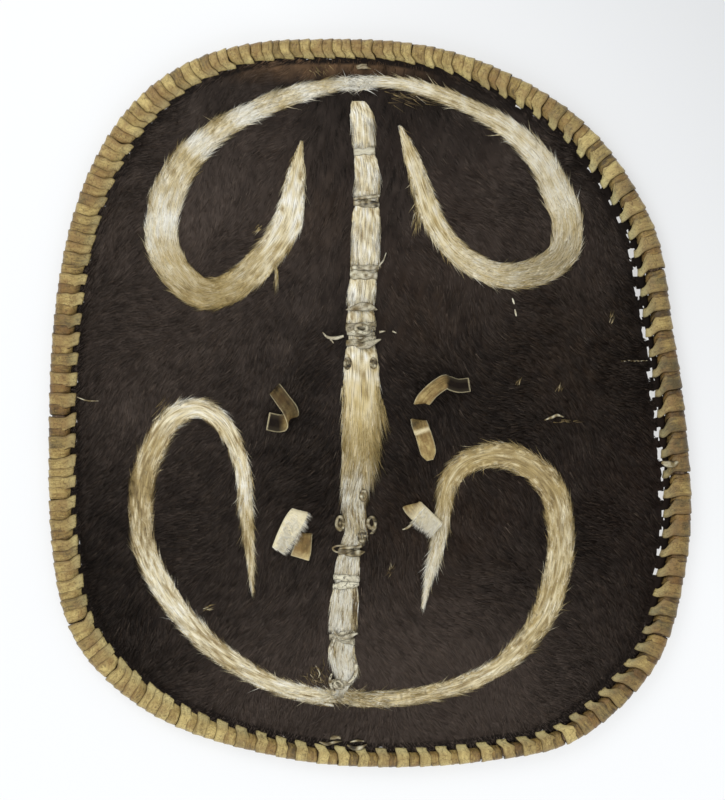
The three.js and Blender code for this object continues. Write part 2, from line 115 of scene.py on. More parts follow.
def makeReach():
    x, y = onRim(np.arange(720) / 720, rim["hideEdge"])
    dx, dy = x - panel["apex"][0], y - panel["apex"][1]
    angle = np.arctan2(dy, dx)
    order = np.argsort(angle)
    return angle[order], np.hypot(dx, dy)[order]


rayAngle, rayLength = makeReach()


def reach(x, y):
    dx, dy = x - panel["apex"][0], y - panel["apex"][1]
    return np.hypot(dx, dy) / np.interp(np.arctan2(dy, dx), rayAngle, rayLength, period=2 * np.pi)


def ripple(x, y):  # the dried hide is never quite true
    return (panel["ripple"] * (np.sin(x / 37 + 1.3) * np.cos(y / 51 - 0.4) + 0.6 * np.sin(x / 19 - y / 23)
        + 0.5 * np.cos(x / 61 + y / 29 + 2)))


def dome(x, y):
    return panel["edgeHeight"] + panel["rise"] * (1 - np.maximum(reach(x, y), 0) ** panel["roundness"])


def back(x, y):
    boss = (panel["bossHeight"] * np.exp(-((x - panel["boss"][0]) / panel["bossAcross"]) ** 2
        - ((y - panel["boss"][1]) / panel["bossAlong"]) ** 2))
    return dome(x, y) + boss + ripple(x, y)


def front(x, y):
    return back(x, y) + panel["thickness"]


# mesh making: points in mm, and faces by point number
def makePiece(name, points, quads, triangles, values, materials, places=None, replaces=()):
    mesh = bpy.data.meshes.new(name)
    loops = np.concatenate([quads.ravel(), triangles.ravel()]).astype(np.int32)
    counts = np.concatenate([np.full(len(quads), 4), np.full(len(triangles), 3)]).astype(np.int32)
    mesh.vertices.add(len(points))
    mesh.vertices.foreach_set("co", (np.asarray(points, float) * 0.001).ravel())
    mesh.loops.add(len(loops))
    mesh.loops.foreach_set("vertex_index", loops)
    mesh.polygons.add(len(counts))
    mesh.polygons.foreach_set("loop_start", np.concatenate([[0], np.cumsum(counts)[:-1]]).astype(np.int32))
    mesh.polygons.foreach_set("use_smooth", np.full(len(counts), True))
    if places is not None:
        mesh.polygons.foreach_set("material_index", np.asarray(places, np.int32))
    mesh.update(calc_edges=True)
    mesh.validate()
    for key, value in values.items():
        given = np.asarray(value, np.float32).ravel()
        mesh.attributes.new(key, "FLOAT", "POINT").data.foreach_set("value", given)
    thing = bpy.data.objects.new(name, mesh)
    bpy.context.scene.collection.objects.link(thing)
    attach(thing, "root")
    if replaces:
        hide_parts(*replaces)
    for material in materials:
        mesh.materials.append(material)
    return thing


def flatUv(thing, across=0.76):  # straight-down map, so that thousands of hairs share one tidy sheet
    mesh = thing.data
    co = np.empty(len(mesh.vertices) * 3)
    mesh.vertices.foreach_get("co", co)
    index = np.empty(len(mesh.loops), np.int32)
    mesh.loops.foreach_get("vertex_index", index)
    uv = (co.reshape(-1, 3)[index, :2] / across) + 0.5
    mesh.uv_layers.new(name="OFBake").data.foreach_set("uv", uv.ravel())


def sweep(rings, closed=False):
    n, k = rings.shape[:2]
    i, j = np.meshgrid(np.arange(n if closed else n - 1), np.arange(k), indexing="ij")
    a, b = i * k + j, i * k + (j + 1) % k
    c, d = ((i + 1) % n) * k + (j + 1) % k, ((i + 1) % n) * k + j
    quads = np.stack([a, b, c, d], -1).reshape(-1, 4)
    triangles = np.zeros((0, 3), int)
    if not closed:
        fan = np.arange(1, k - 1)
        first = np.stack([np.zeros_like(fan), fan + 1, fan], -1)
        triangles = np.concatenate([first, first[:, ::-1] + (n - 1) * k])
    return rings.reshape(-1, 3), quads, triangles


def join(parts):
    starts = np.cumsum([0] + [len(part[0]) for part in parts])
    points = np.concatenate([part[0] for part in parts])
    quads, triangles = (np.concatenate([part[kind] + start for part, start in zip(parts, starts)])
        for kind in (1, 2))
    return points, quads, triangles


def smoothPath(points, count, closed=False):
    p = np.asarray(points, float)
    if closed:
        p = np.concatenate([p[-1:], p, p[:2]])
    else:
        p = np.concatenate([2 * p[:1] - p[1:2], p, 2 * p[-1:] - p[-2:-1]])
    spans = len(p) - 3
    x = np.linspace(0, spans, count * 8, endpoint=not closed)
    i = np.minimum(x.astype(int), spans - 1)
    f = (x - i)[:, None]
    a, b, c, d = p[i], p[i + 1], p[i + 2], p[i + 3]
    curve = (0.5 * (2 * b + (c - a) * f + (2 * a - 5 * b + 4 * c - d) * f ** 2
        + (3 * b - a - 3 * c + d) * f ** 3))
    step = np.linalg.norm(np.diff(curve[:, :3], axis=0), axis=1)
    along = np.concatenate([[0], np.cumsum(step)])
    total = along[-1] + (np.linalg.norm(curve[0, :3] - curve[-1, :3]) if closed else 0)
    want = np.linspace(0, total, count, endpoint=not closed)
    if closed:
        along, curve = np.append(along, total), np.concatenate([curve, curve[:1]])
    return np.stack([np.interp(want, along, curve[:, k]) for k in range(curve.shape[1])], -1)


def tangents(path):
    d = np.gradient(path, axis=0)
    return d / np.maximum(np.linalg.norm(d, axis=1, keepdims=True), 1e-9)


def unit(v):
    return v / np.maximum(np.linalg.norm(v, axis=-1, keepdims=True), 1e-9)


def patchNoise(x, y, scale, seed):  # smooth noise from a few waves, about -1 to 1
    waves = np.random.default_rng(seed)
    total = np.zeros(np.broadcast(x, y).shape)
    for _ in range(7):
        a, k, phase = waves.uniform(0, 2 * np.pi), waves.uniform(0.6, 1.7) / scale, waves.uniform(0, 6.3)
        total = total + np.sin((x * np.cos(a) + y * np.sin(a)) * k * 2 * np.pi + phase)
    return total / 3.2


# shader helpers
def newMaterial(name):
    material = bpy.data.materials.new(name)
    material.use_nodes = True
    tree = material.node_tree
    tree.nodes.clear()
    shader, output = tree.nodes.new("ShaderNodeBsdfPrincipled"), tree.nodes.new("ShaderNodeOutputMaterial")
    tree.links.new(shader.outputs["BSDF"], output.inputs["Surface"])
    return material, tree, shader


def plug(tree, socket, value):  # another node's socket is joined, anything else is a setting
    if isinstance(value, bpy.types.NodeSocket):
        tree.links.new(value, socket)
    else:
        socket.default_value = value


def wire(tree, kind, inputs=None, **settings):
    node = tree.nodes.new(kind)
    for key, value in settings.items():
        setattr(node, key, value)
    for key, value in (inputs or {}).items():
        plug(tree, node.inputs[key], value)
    return node


def number(tree, operation, *values, **settings):
    return wire(tree, "ShaderNodeMath", dict(enumerate(values)), operation=operation, **settings).outputs[0]


def noise(tree, where, scale, detail, **more):
    values = {"Vector": where, "Scale": scale, "Detail": detail, **more}
    return wire(tree, "ShaderNodeTexNoise", values).outputs["Fac"]


def ownPlace(tree):
    return wire(tree, "ShaderNodeTexCoord").outputs["Object"]


def attribute(tree, name):
    return wire(tree, "ShaderNodeAttribute", attribute_name=name).outputs["Fac"]


def stripPlace(tree):  # places on a strip: across it, and along it
    values = {"X": attribute(tree, "across"), "Y": attribute(tree, "along")}
    return wire(tree, "ShaderNodeCombineXYZ", values).outputs[0]


def bump(tree, height, strength, distance):
    values = {"Height": height, "Strength": strength, "Distance": distance}
    return wire(tree, "ShaderNodeBump", values).outputs["Normal"]


def ramp(tree, factor, stops):
    node = tree.nodes.new("ShaderNodeValToRGB")
    band = node.color_ramp
    while len(band.elements) < len(stops):
        band.elements.new(0.5)
    for element, (place, colour) in zip(band.elements, stops):
        element.position = place
        element.color = (*colour, 1)
    tree.links.new(factor, node.inputs["Fac"])
    return node.outputs["Color"]


def mixed(tree, factor, first, second):
    node = wire(tree, "ShaderNodeMix", data_type="RGBA")
    for index, value in ((0, factor), (6, first), (7, second)):
        plug(tree, node.inputs[index], (*value, 1) if isinstance(value, tuple) else value)
    return node.outputs[2]


def finish(tree, shader, colour, normal, roughness, gloss=0.5):
    values = {"Base Color": colour, "Normal": normal, "Roughness": roughness, "Specular IOR Level": gloss}
    for socket, value in values.items():
        plug(tree, shader.inputs[socket], value)


def newGroup(name, inputs, outputs):
    tree = bpy.data.node_groups.new(name, "ShaderNodeTree")
    for label, value in inputs.items():
        tree.interface.new_socket(label, in_out="INPUT", socket_type="NodeSocketFloat").default_value = value
    for label in outputs:
        tree.interface.new_socket(label, in_out="OUTPUT", socket_type="NodeSocketFloat")
    return tree, tree.nodes.new("NodeGroupInput").outputs, tree.nodes.new("NodeGroupOutput").inputs


def makeMottleGroup():  # large soft patches and small specks, for hide, hair and rawhide alike
    settings = {"Scale": 9.0, "Speck Scale": 260.0, "Speck Amount": 0.5}
    tree, source, sink = newGroup("hideMottle", settings, ["Mottle", "Height"])
    where = ownPlace(tree)
    broad = noise(tree, where, source["Scale"], 4.0, Roughness=0.6)
    speck = noise(tree, where, source["Speck Scale"], 3.0, Roughness=0.65)
    scaled = number(tree, "MULTIPLY", number(tree, "SUBTRACT", speck, 0.5), source["Speck Amount"])
    tree.links.new(number(tree, "ADD", broad, scaled, use_clamp=True), sink["Mottle"])
    tree.links.new(speck, sink["Height"])
    return tree


def makeStreakGroup():  # fine lines that run with a direction: hair roots and the grain of a stick
    tree, source, sink = newGroup("fineStreaks", {"Across": 900.0, "Along": 60.0, "Turn": 0.0}, ["Streak"])
    turn = wire(tree, "ShaderNodeCombineXYZ", {"Z": source["Turn"]}).outputs[0]
    sizes = {"X": source["Across"], "Y": source["Along"], "Z": source["Across"]}
    scale = wire(tree, "ShaderNodeCombineXYZ", sizes).outputs[0]
    mapped = wire(tree, "ShaderNodeMapping", {"Vector": ownPlace(tree), "Rotation": turn}).outputs[0]
    stretched = wire(tree, "ShaderNodeVectorMath", {0: mapped, 1: scale}, operation="MULTIPLY").outputs[0]
    tree.links.new(noise(tree, stretched, 1.0, 2.0), sink["Streak"])
    return tree


mottleGroup, streakGroup = makeMottleGroup(), makeStreakGroup()


def mottled(tree, scale, speckScale, speckAmount):
    values = {"Scale": scale, "Speck Scale": speckScale, "Speck Amount": speckAmount}
    return wire(tree, "ShaderNodeGroup", values, node_tree=mottleGroup).outputs


def streaked(tree, across, along, turn=0.0):
    values = {"Across": across, "Along": along, "Turn": turn}
    return wire(tree, "ShaderNodeGroup", values, node_tree=streakGroup).outputs["Streak"]


coatFinish = {
    "deep": (0.0066, 0.0042, 0.0030), "coat": (0.0110, 0.0072, 0.0052), "warm": (0.030, 0.0165, 0.0110),
    # the first colour on the next line is the grey of the painted sheen
    "paintedSheen": (0.092, 0.069, 0.055), "light": (0.150, 0.112, 0.082), "red": (0.225, 0.130, 0.066),
    "roughness": 0.55, "gloss": 0.18, "skinRoughness": 0.7, "skinGloss": 0.1,
}


def makeDarkCoat(name, skin):  # skin is the hide between the hairs, the coat is the hairs themselves
    material, tree, shader = newMaterial(name)
    stops = [(0.25, coatFinish["deep"]), (0.55, coatFinish["coat"]), (0.85, coatFinish["warm"])]
    colour = ramp(tree, mottled(tree, 5.0, 420.0, 0.5)["Mottle"], stops)
    # painted sheen: the coat and skin are mixed towards grey where they catch light; red is the hair's own
    # colour
    for tint in ("paintedSheen", "red"):
        colour = mixed(tree, attribute(tree, tint), colour, coatFinish[tint])
    if skin:
        colour = mixed(tree, 0.35, colour, coatFinish["deep"])
        roughness, gloss = coatFinish["skinRoughness"], coatFinish["skinGloss"]
    else:
        colour = mixed(tree, attribute(tree, "tone"), colour, coatFinish["light"])
        roughness, gloss = coatFinish["roughness"], coatFinish["gloss"]
    finish(tree, shader, colour, bump(tree, streaked(tree, 700.0, 90.0, 0.6), 0.3, 0.0004), roughness, gloss)
    return material


skinMaterial = makeDarkCoat("dark hide under the hair", True)
coatMaterial = makeDarkCoat("black-brown hair", False)
rawBack = {"dark": (0.10, 0.068, 0.036), "mid": (0.24, 0.175, 0.10), "light": (0.40, 0.32, 0.20),
    "roughness": 0.58}


def makeRawBack():
    material, tree, shader = newMaterial("bare rawhide back")
    mottle = mottled(tree, 7.0, 300.0, 0.45)
    stops = [(0.2, rawBack["dark"]), (0.5, rawBack["mid"]), (0.8, rawBack["light"])]
    colour = ramp(tree, mottle["Mottle"], stops)
    finish(tree, shader, colour, bump(tree, mottle["Height"], 0.35, 0.0008), rawBack["roughness"])
    return material


rawBackMaterial = makeRawBack()
paleFinish = {
    "gap": (0.115, 0.075, 0.030), "shade": (0.37, 0.275, 0.125), "cream": (0.80, 0.71, 0.47),
    "white": (0.97, 0.95, 0.85), "yellow": (0.56, 0.42, 0.15), "roughness": 0.4, "gloss": 0.35,
}


def makePaleCoat(name, skin):  # tone runs from the shadow between strands to the whitest hair
    material, tree, shader = newMaterial(name)
    mottle = mottled(tree, 30.0, 700.0, 0.5)
    moved = number(tree, "SUBTRACT", mottle["Mottle"], 0.5)
    shifted = number(tree, "MULTIPLY_ADD", moved, 0.55, attribute(tree, "tone"))
    stops = [(0.0, "gap"), (0.24, "shade"), (0.5, "cream"), (0.82, "white")]
    strands = ramp(tree, shifted, [(place, paleFinish[tint]) for place, tint in stops])
    colour = mixed(tree, attribute(tree, "yellow"), strands, mixed(tree, 0.62, strands, paleFinish["yellow"]))
    if skin:
        # painted shadow: dark lines between the strands are painted onto the skin in the gap colour
        lines = noise(tree, stripPlace(tree), 1.0, 2.0)
        clear = ramp(tree, lines, [(0.30, (0.2, 0.2, 0.2)), (0.52, (1, 1, 1))])
        colour = mixed(tree, clear, paleFinish["gap"], colour)
        normal = bump(tree, lines, 0.6, 0.0006)
    else:
        normal = bump(tree, mottle["Height"], 0.3, 0.0003)
    finish(tree, shader, colour, normal, paleFinish["roughness"], paleFinish["gloss"])
    return material


paleSkinMaterial = makePaleCoat("pale hide under the hair", True)
paleHairMaterial = makePaleCoat("cream white hair", False)
rawhides = {
    "lashing": {
        "dark": (0.052, 0.026, 0.008), "mid": (0.31, 0.200, 0.058), "light": (0.62, 0.47, 0.175),
        "pale": (0.58, 0.54, 0.27), "warm": (0.235, 0.118, 0.034), "roughness": 0.36, "gloss": 0.25,
    },
    "thong": {
        "dark": (0.028, 0.020, 0.009), "mid": (0.25, 0.19, 0.08), "light": (0.68, 0.62, 0.40),
        "pale": (0.88, 0.84, 0.68), "warm": (0.22, 0.155, 0.065), "roughness": 0.3, "gloss": 0.3,
    },
    "flesh": {
        "dark": (0.040, 0.028, 0.012), "mid": (0.24, 0.165, 0.062), "light": (0.52, 0.40, 0.17),
        "pale": (0.80, 0.73, 0.47), "warm": (0.22, 0.130, 0.048), "roughness": 0.5, "gloss": 0.06,
    },
}


def makeRawhide(name, look):
    material, tree, shader = newMaterial(name)
    mottle = mottled(tree, 70.0, 900.0, 0.55)
    folds = noise(tree, stripPlace(tree), 1.0, 2.0, Distortion=0.7)
    spread = number(tree, "ADD", mottle["Mottle"], attribute(tree, "tone"))
    shared = number(tree, "DIVIDE", number(tree, "ADD", spread, folds), 3.0)
    colour = ramp(tree, shared, [(0.32, look["dark"]), (0.46, look["mid"]), (0.62, look["light"])])
    stops = [(0.42, (0, 0, 0)), (0.66, (0.75, 0.75, 0.75))]
    stained = ramp(tree, mottled(tree, 34.0, 160.0, 0.6)["Mottle"], stops)
    colour = mixed(tree, stained, colour, look["warm"])
    colour = mixed(tree, attribute(tree, "haired"), colour, coatFinish["coat"])
    colour = mixed(tree, attribute(tree, "cream"), colour, paleFinish["cream"])
    colour = mixed(tree, attribute(tree, "pale"), colour, mixed(tree, 0.6, colour, look["pale"]))
    # painted shade: thin dark lines in the creases of the rawhide, as much as the crack share
    crinkle = noise(tree, ownPlace(tree), 190.0, 2.0, Distortion=0.8)
    line = ramp(tree, crinkle, [(0.455, (0, 0, 0)), (0.49, (1, 1, 1)), (0.525, (0, 0, 0))])
    cracked = number(tree, "MULTIPLY", line, attribute(tree, "crack"))
    # painted shade: the crease lines and the sides of turns and thongs are mixed towards the dark colour
    darkened = number(tree, "MAXIMUM", cracked, attribute(tree, "edge"))
    relief = number(tree, "ADD", folds, mottle["Height"])
    colour = mixed(tree, darkened, colour, look["dark"])
    finish(tree, shader, colour, bump(tree, relief, 0.5, 0.0008), look["roughness"], look["gloss"])
    return material


lashingMaterial = makeRawhide("dry rawhide lashing", rawhides["lashing"])
thongMaterial = makeRawhide("rawhide thong", rawhides["thong"])
fleshMaterial = makeRawhide("strap flesh side", rawhides["flesh"])
stick = {"dark": (0.09, 0.048, 0.022), "mid": (0.21, 0.125, 0.06), "light": (0.34, 0.22, 0.115),
    "roughness": 0.55}


def makeStick():
    material, tree, shader = newMaterial("scraped stick")
    grain = streaked(tree, 420.0, 16.0)
    colour = ramp(tree, grain, [(0.3, stick["dark"]), (0.52, stick["mid"]), (0.75, stick["light"])])
    finish(tree, shader, colour, bump(tree, grain, 0.4, 0.0006), stick["roughness"])
    return material


stickMaterial = makeStick()
print("finishes made")

# camera first, then floor and light
view = {"distance": 4.0, "centre": (-0.008, 0.0035), "height": 0.02, "fieldHeight": 0.800}
camera = bpy.data.objects.new("camera", bpy.data.cameras.new("camera"))
bpy.context.scene.collection.objects.link(camera)
camera.location = (*view["centre"], view["height"] + view["distance"])
camera.data.sensor_width = 36
camera.data.lens = 36 * view["distance"] / view["fieldHeight"]
camera.data.clip_end = 20
bpy.context.scene.camera = camera
bpy.context.scene.view_settings.view_transform = "Standard"

studio = {
    "lamps": {"key": (19, 1.4, (-1.0, 1.1, 1.9)), "fill": (14, 1.8, (0.2, -1.7, 1.5))},  # power, size, place
    "world": 0.70, "worldColour": (0.95, 0.97, 1.0, 1),
    # floorGlow and glowRight: the floor's own glow, painted light, weaker to the upper right
    "floor": (0.30, 0.305, 0.31), "floorSize": 6, "floorGlow": 0.66, "glowRight": 0.465,
}


def makeStudio():
    bpy.ops.mesh.primitive_plane_add(size=studio["floorSize"], location=(0, 0, -0.0004))
    floor = bpy.context.object
    floor.name = "floor"
    material, tree, shader = newMaterial("pale floor")
    # painted light: the floor glows, so it shows near white under the shield and through its holes; painted
    # shade: the glow is weaker towards the upper right
    where = wire(tree, "ShaderNodeSeparateXYZ", {0: ownPlace(tree)}).outputs
    corner = number(tree, "MULTIPLY_ADD", where["Y"], 0.75, where["X"])
    sideways = wire(tree, "ShaderNodeMapRange", {"Value": corner, "From Min": 0.2, "From Max": 0.66})
    glow = [tuple(studio[k] * c for c in (0.985, 0.995, 1)) for k in ("floorGlow", "glowRight")]
    shine = ramp(tree, sideways.outputs[0], [(0, glow[0]), (1, glow[1])])
    tree.links.new(shine, shader.inputs["Emission Color"])
    shader.inputs["Emission Strength"].default_value = 1
    shader.inputs["Base Color"].default_value = (*studio["floor"], 1)
    shader.inputs["Roughness"].default_value = 0.9
    floor.data.materials.append(material)
    for name, (power, size, spot) in studio["lamps"].items():
        lamp = bpy.data.lights.new(name, "AREA")
        lamp.energy, lamp.size = power, size
        thing = bpy.data.objects.new(name, lamp)
        bpy.context.scene.collection.objects.link(thing)
        thing.location = spot
        thing.rotation_mode = "QUATERNION"
        thing.rotation_quaternion = (-Vector(spot)).to_track_quat("-Z", "Y")
    world = bpy.data.worlds.new("studio")
    bpy.context.scene.world = world
    world.use_nodes = True
    background = world.node_tree.nodes["Background"].inputs
    background["Color"].default_value = studio["worldColour"]
    background["Strength"].default_value = studio["world"]


makeStudio()
print("camera, floor and light set")

# hide panel with its lacing holes
hideLook = {
    "rowsAcrossBand": (-9.8, -11.6, -13.4, -15.0, -16.6, -18.4, -20.4, -22.4, -26), "bareRows": 7,
    "columnsPerStitch": 6, "innerRows": 40, "ragged": 0.42, "lip": 0.5, "unevenness": 0.3,
    "openRight": (-33, 47), "smallAbove": 33, "openAlone": 64.4,  # angles of the holes that show the ground
}


def stitchAngle(k):
    x, y = onRim((k + 0.5) / rim["stitches"], 0)
    return math.degrees(math.atan2(y, x))


def redness(x, y):  # shorter, redder hair near the top edge
    near = np.exp(-((x - at(330, 0)[0]) / 95) ** 2) * smooth((y - 318) / 22)
    spots = ((-50, 190, 42), (45, 90, 48), (190, 55, 75), (60, -120, 70))
    faint = 0.08 * sum(np.exp(-((x - a) ** 2 + (y - b) ** 2) / r ** 2) for a, b, r in spots)
    near = near * (0.8 + 0.4 * patchNoise(x, y, 18, 3))
    return np.clip(near + faint * (0.7 + 0.6 * patchNoise(x, y, 24, 4)), 0, 1)


def coatSheen(x, y):  # painted sheen: the coat is painted greyer towards the upper left, the left and the lower edge, where it catches light and reflection, and in soft clumps
    spots = ((-170, 190, 150, 1.0), (140, 195, 115, 0.68), (-250, 20, 120, 0.82), (-130, -150, 120, 0.4),
        (60, -335, 130, 2.4), (-110, -300, 90, 1.3), (210, -250, 90, 0.35))
    total = sum(k * np.exp(-((x - a) ** 2 + (y - b) ** 2) / r ** 2) for a, b, r, k in spots)
    broad, fine = patchNoise(x, y, 60, 47), patchNoise(x + 0.5 * y, y * 0.4, 8, 55)
    lumps = patchNoise(x, y, 21, 53) + 0.8 * fine
    return np.clip(0.69 * total + 0.10 * broad + (0.05 + 0.16 * total) * lumps, 0, 1.25)


openHoles = []


def chooseHoles(x, y, gone):  # each stitch has a small hole, and those that show the ground are torn wider
    for k in range(rim["stitches"]):
        first = k * hideLook["columnsPerStitch"]
        angle = stitchAngle(k)
        gone[1:4, first + 2:first + 4] = True
        small = angle > hideLook["smallAbove"]
        torn = hideLook["openRight"][0] < angle < hideLook["openRight"][1]
        if torn or abs(angle - hideLook["openAlone"]) < 1.7:
            deep = 5 + (chance.random() < 0.6) + (chance.random() < 0.35) * (not small)
            for r in range(2, deep):
                before, after = (chance.random(2) < (0.45, 0.35)) if r > 2 and not small else (False, False)
                gone[r, first + 2 - before:first + 4 + after] = True
            openHoles.append((x[5, first + 3], y[5, first + 3]))


def holeWalls(gone, columns, half):
    walls = []
    for r, q in zip(*np.nonzero(gone)):
        n = (q + 1) % columns
        sides = [
            ((r, q), (r, n), r == 0 or not gone[r - 1, q]),
            ((r, n), (r + 1, n), not gone[r, n]),
            ((r + 1, n), (r + 1, q), not gone[r + 1, q]),
            ((r + 1, q), (r, q), not gone[r, q - 1]),
        ]
        for (r1, c1), (r2, c2), needed in sides:
            if needed and not (r == 0 and r1 == 0 and r2 == 0):
                p, s = r1 * columns + c1, r2 * columns + c2
                walls.append((p, s, s + half, p + half))
    return np.array(walls)


def makeHide():
    columns, lean = rim["stitches"] * hideLook["columnsPerStitch"], rim["lean"] / rimLine["length"]
    apexX, apexY = panel["apex"]
    t = np.arange(columns) / columns + lean
    rows = [onRim(t, u) for u in hideLook["rowsAcrossBand"]]
    seamX, seamY = rows[-1]
    for share in np.linspace(1, 0.012, hideLook["innerRows"])[1:]:
        rows.append((apexX + (seamX - apexX) * share, apexY + (seamY - apexY) * share))
    x, y = np.stack([r[0] for r in rows]), np.stack([r[1] for r in rows])
    band = len(hideLook["rowsAcrossBand"])
    x[1:band - 1] += chance.normal(0, hideLook["ragged"], x[1:band - 1].shape)
    y[1:band - 1] += chance.normal(0, hideLook["ragged"], y[1:band - 1].shape)
    count = x.shape[0]
    lip = np.zeros_like(x)
    lip[0] = -hideLook["lip"]
    top = front(x, y) + lip + hideLook["unevenness"] * patchNoise(x, y, 9, 21)
    low = back(x, y) - lip
    faces = [np.stack([x, y, z], -1).reshape(-1, 3) for z in (top, low)]
    half = count * columns
    gone = np.zeros((count - 1, columns), bool)
    chooseHoles(x, y, gone)
    i, j = np.meshgrid(np.arange(count - 1), np.arange(columns), indexing="ij")
    a, b = i * columns + j, i * columns + (j + 1) % columns
    c, d = (i + 1) * columns + (j + 1) % columns, (i + 1) * columns + j
    kept = ~gone
    up = np.stack([a, d, c, b], -1)[kept]
    down = np.stack([a, b, c, d], -1)[kept] + half
    walls = holeWalls(gone, columns, half)
    edge = np.arange(columns)[kept[0]]
    rimWall = np.stack([edge, (edge + 1) % columns, (edge + 1) % columns + half, edge + half], -1)
    points = np.concatenate([*faces, [[apexX, apexY, top[-1].mean()], [apexX, apexY, low[-1].mean()]]])
    here = (count - 1) * columns + np.arange(columns)
    ahead = (count - 1) * columns + (np.arange(columns) + 1) % columns
    topCap = np.stack([here, np.full(columns, 2 * half), ahead], -1)
    lowCap = np.stack([here + half, ahead + half, np.full(columns, 2 * half + 1)], -1)
    quads = np.concatenate([up, down, walls, rimWall])
    rawFaces = len(down) + len(walls) + len(rimWall)
    places = np.concatenate([np.zeros(len(up)), np.ones(rawFaces), np.zeros(columns), np.ones(columns)])
    haired = np.concatenate([np.repeat(np.arange(count) > hideLook["bareRows"], columns)] * 2 + [[1, 1]])
    # the first tint is painted sheen, the second the hair's own redness
    tints = {"red": redness(x, y).ravel(), "paintedSheen": coatSheen(x, y).ravel()}
    values = {key: np.concatenate([value, value, [0, 0]]) * haired for key, value in tints.items()}
    makePiece(
        "haired_hide", points, quads, np.concatenate([topCap, lowCap]), values,
        [skinMaterial, rawBackMaterial], places, ["hide_panel"],
    )


makeHide()
print("hide panel made")


# each hair is a slim closed blade that lies along the coat
def makeHairs(name, x, y, z, heading, length, width, lift, values, material, slot):
    n = len(x)
    base = np.stack([x, y, z - 0.3], -1)
    forward = np.stack([np.cos(heading), np.sin(heading), np.zeros(n)], -1)
    side = np.stack([-np.sin(heading), np.cos(heading), np.zeros(n)], -1)
    tip = base + forward * length[:, None]
    tip[:, 2] = lift
    left, right = base - side * width[:, None] / 2, base + side * width[:, None] / 2
    ridge = base + [0, 0, 0.75] + forward * (length * 0.25)[:, None]
    points = np.stack([left, right, ridge, tip], 1).reshape(-1, 3)
    k = np.arange(n)[:, None] * 4
    triangles = np.concatenate([k + [0, 3, 2], k + [2, 3, 1], k + [1, 3, 0], k + [0, 2, 1]])
    spread = {key: np.repeat(value, 4) for key, value in values.items()}
    flatUv(makePiece(name, points, np.zeros((0, 4), int), triangles, spread, [material]))


coat = {"hairs": 48000, "length": (11, 19), "width": (0.5, 0.9), "lift": (0.15, 0.6), "flow": 0.05}
stripFinish = {"hairs": 46500, "scrollShare": 0.19, "rootsBehind": 5, "length": (11, 25),
    "width": (0.4, 0.85), "lift": (0.4, 1.0)}
stripMesh = {"scrollRings": 240, "scrollCorners": 16, "centreRings": 260, "centreCorners": 18}

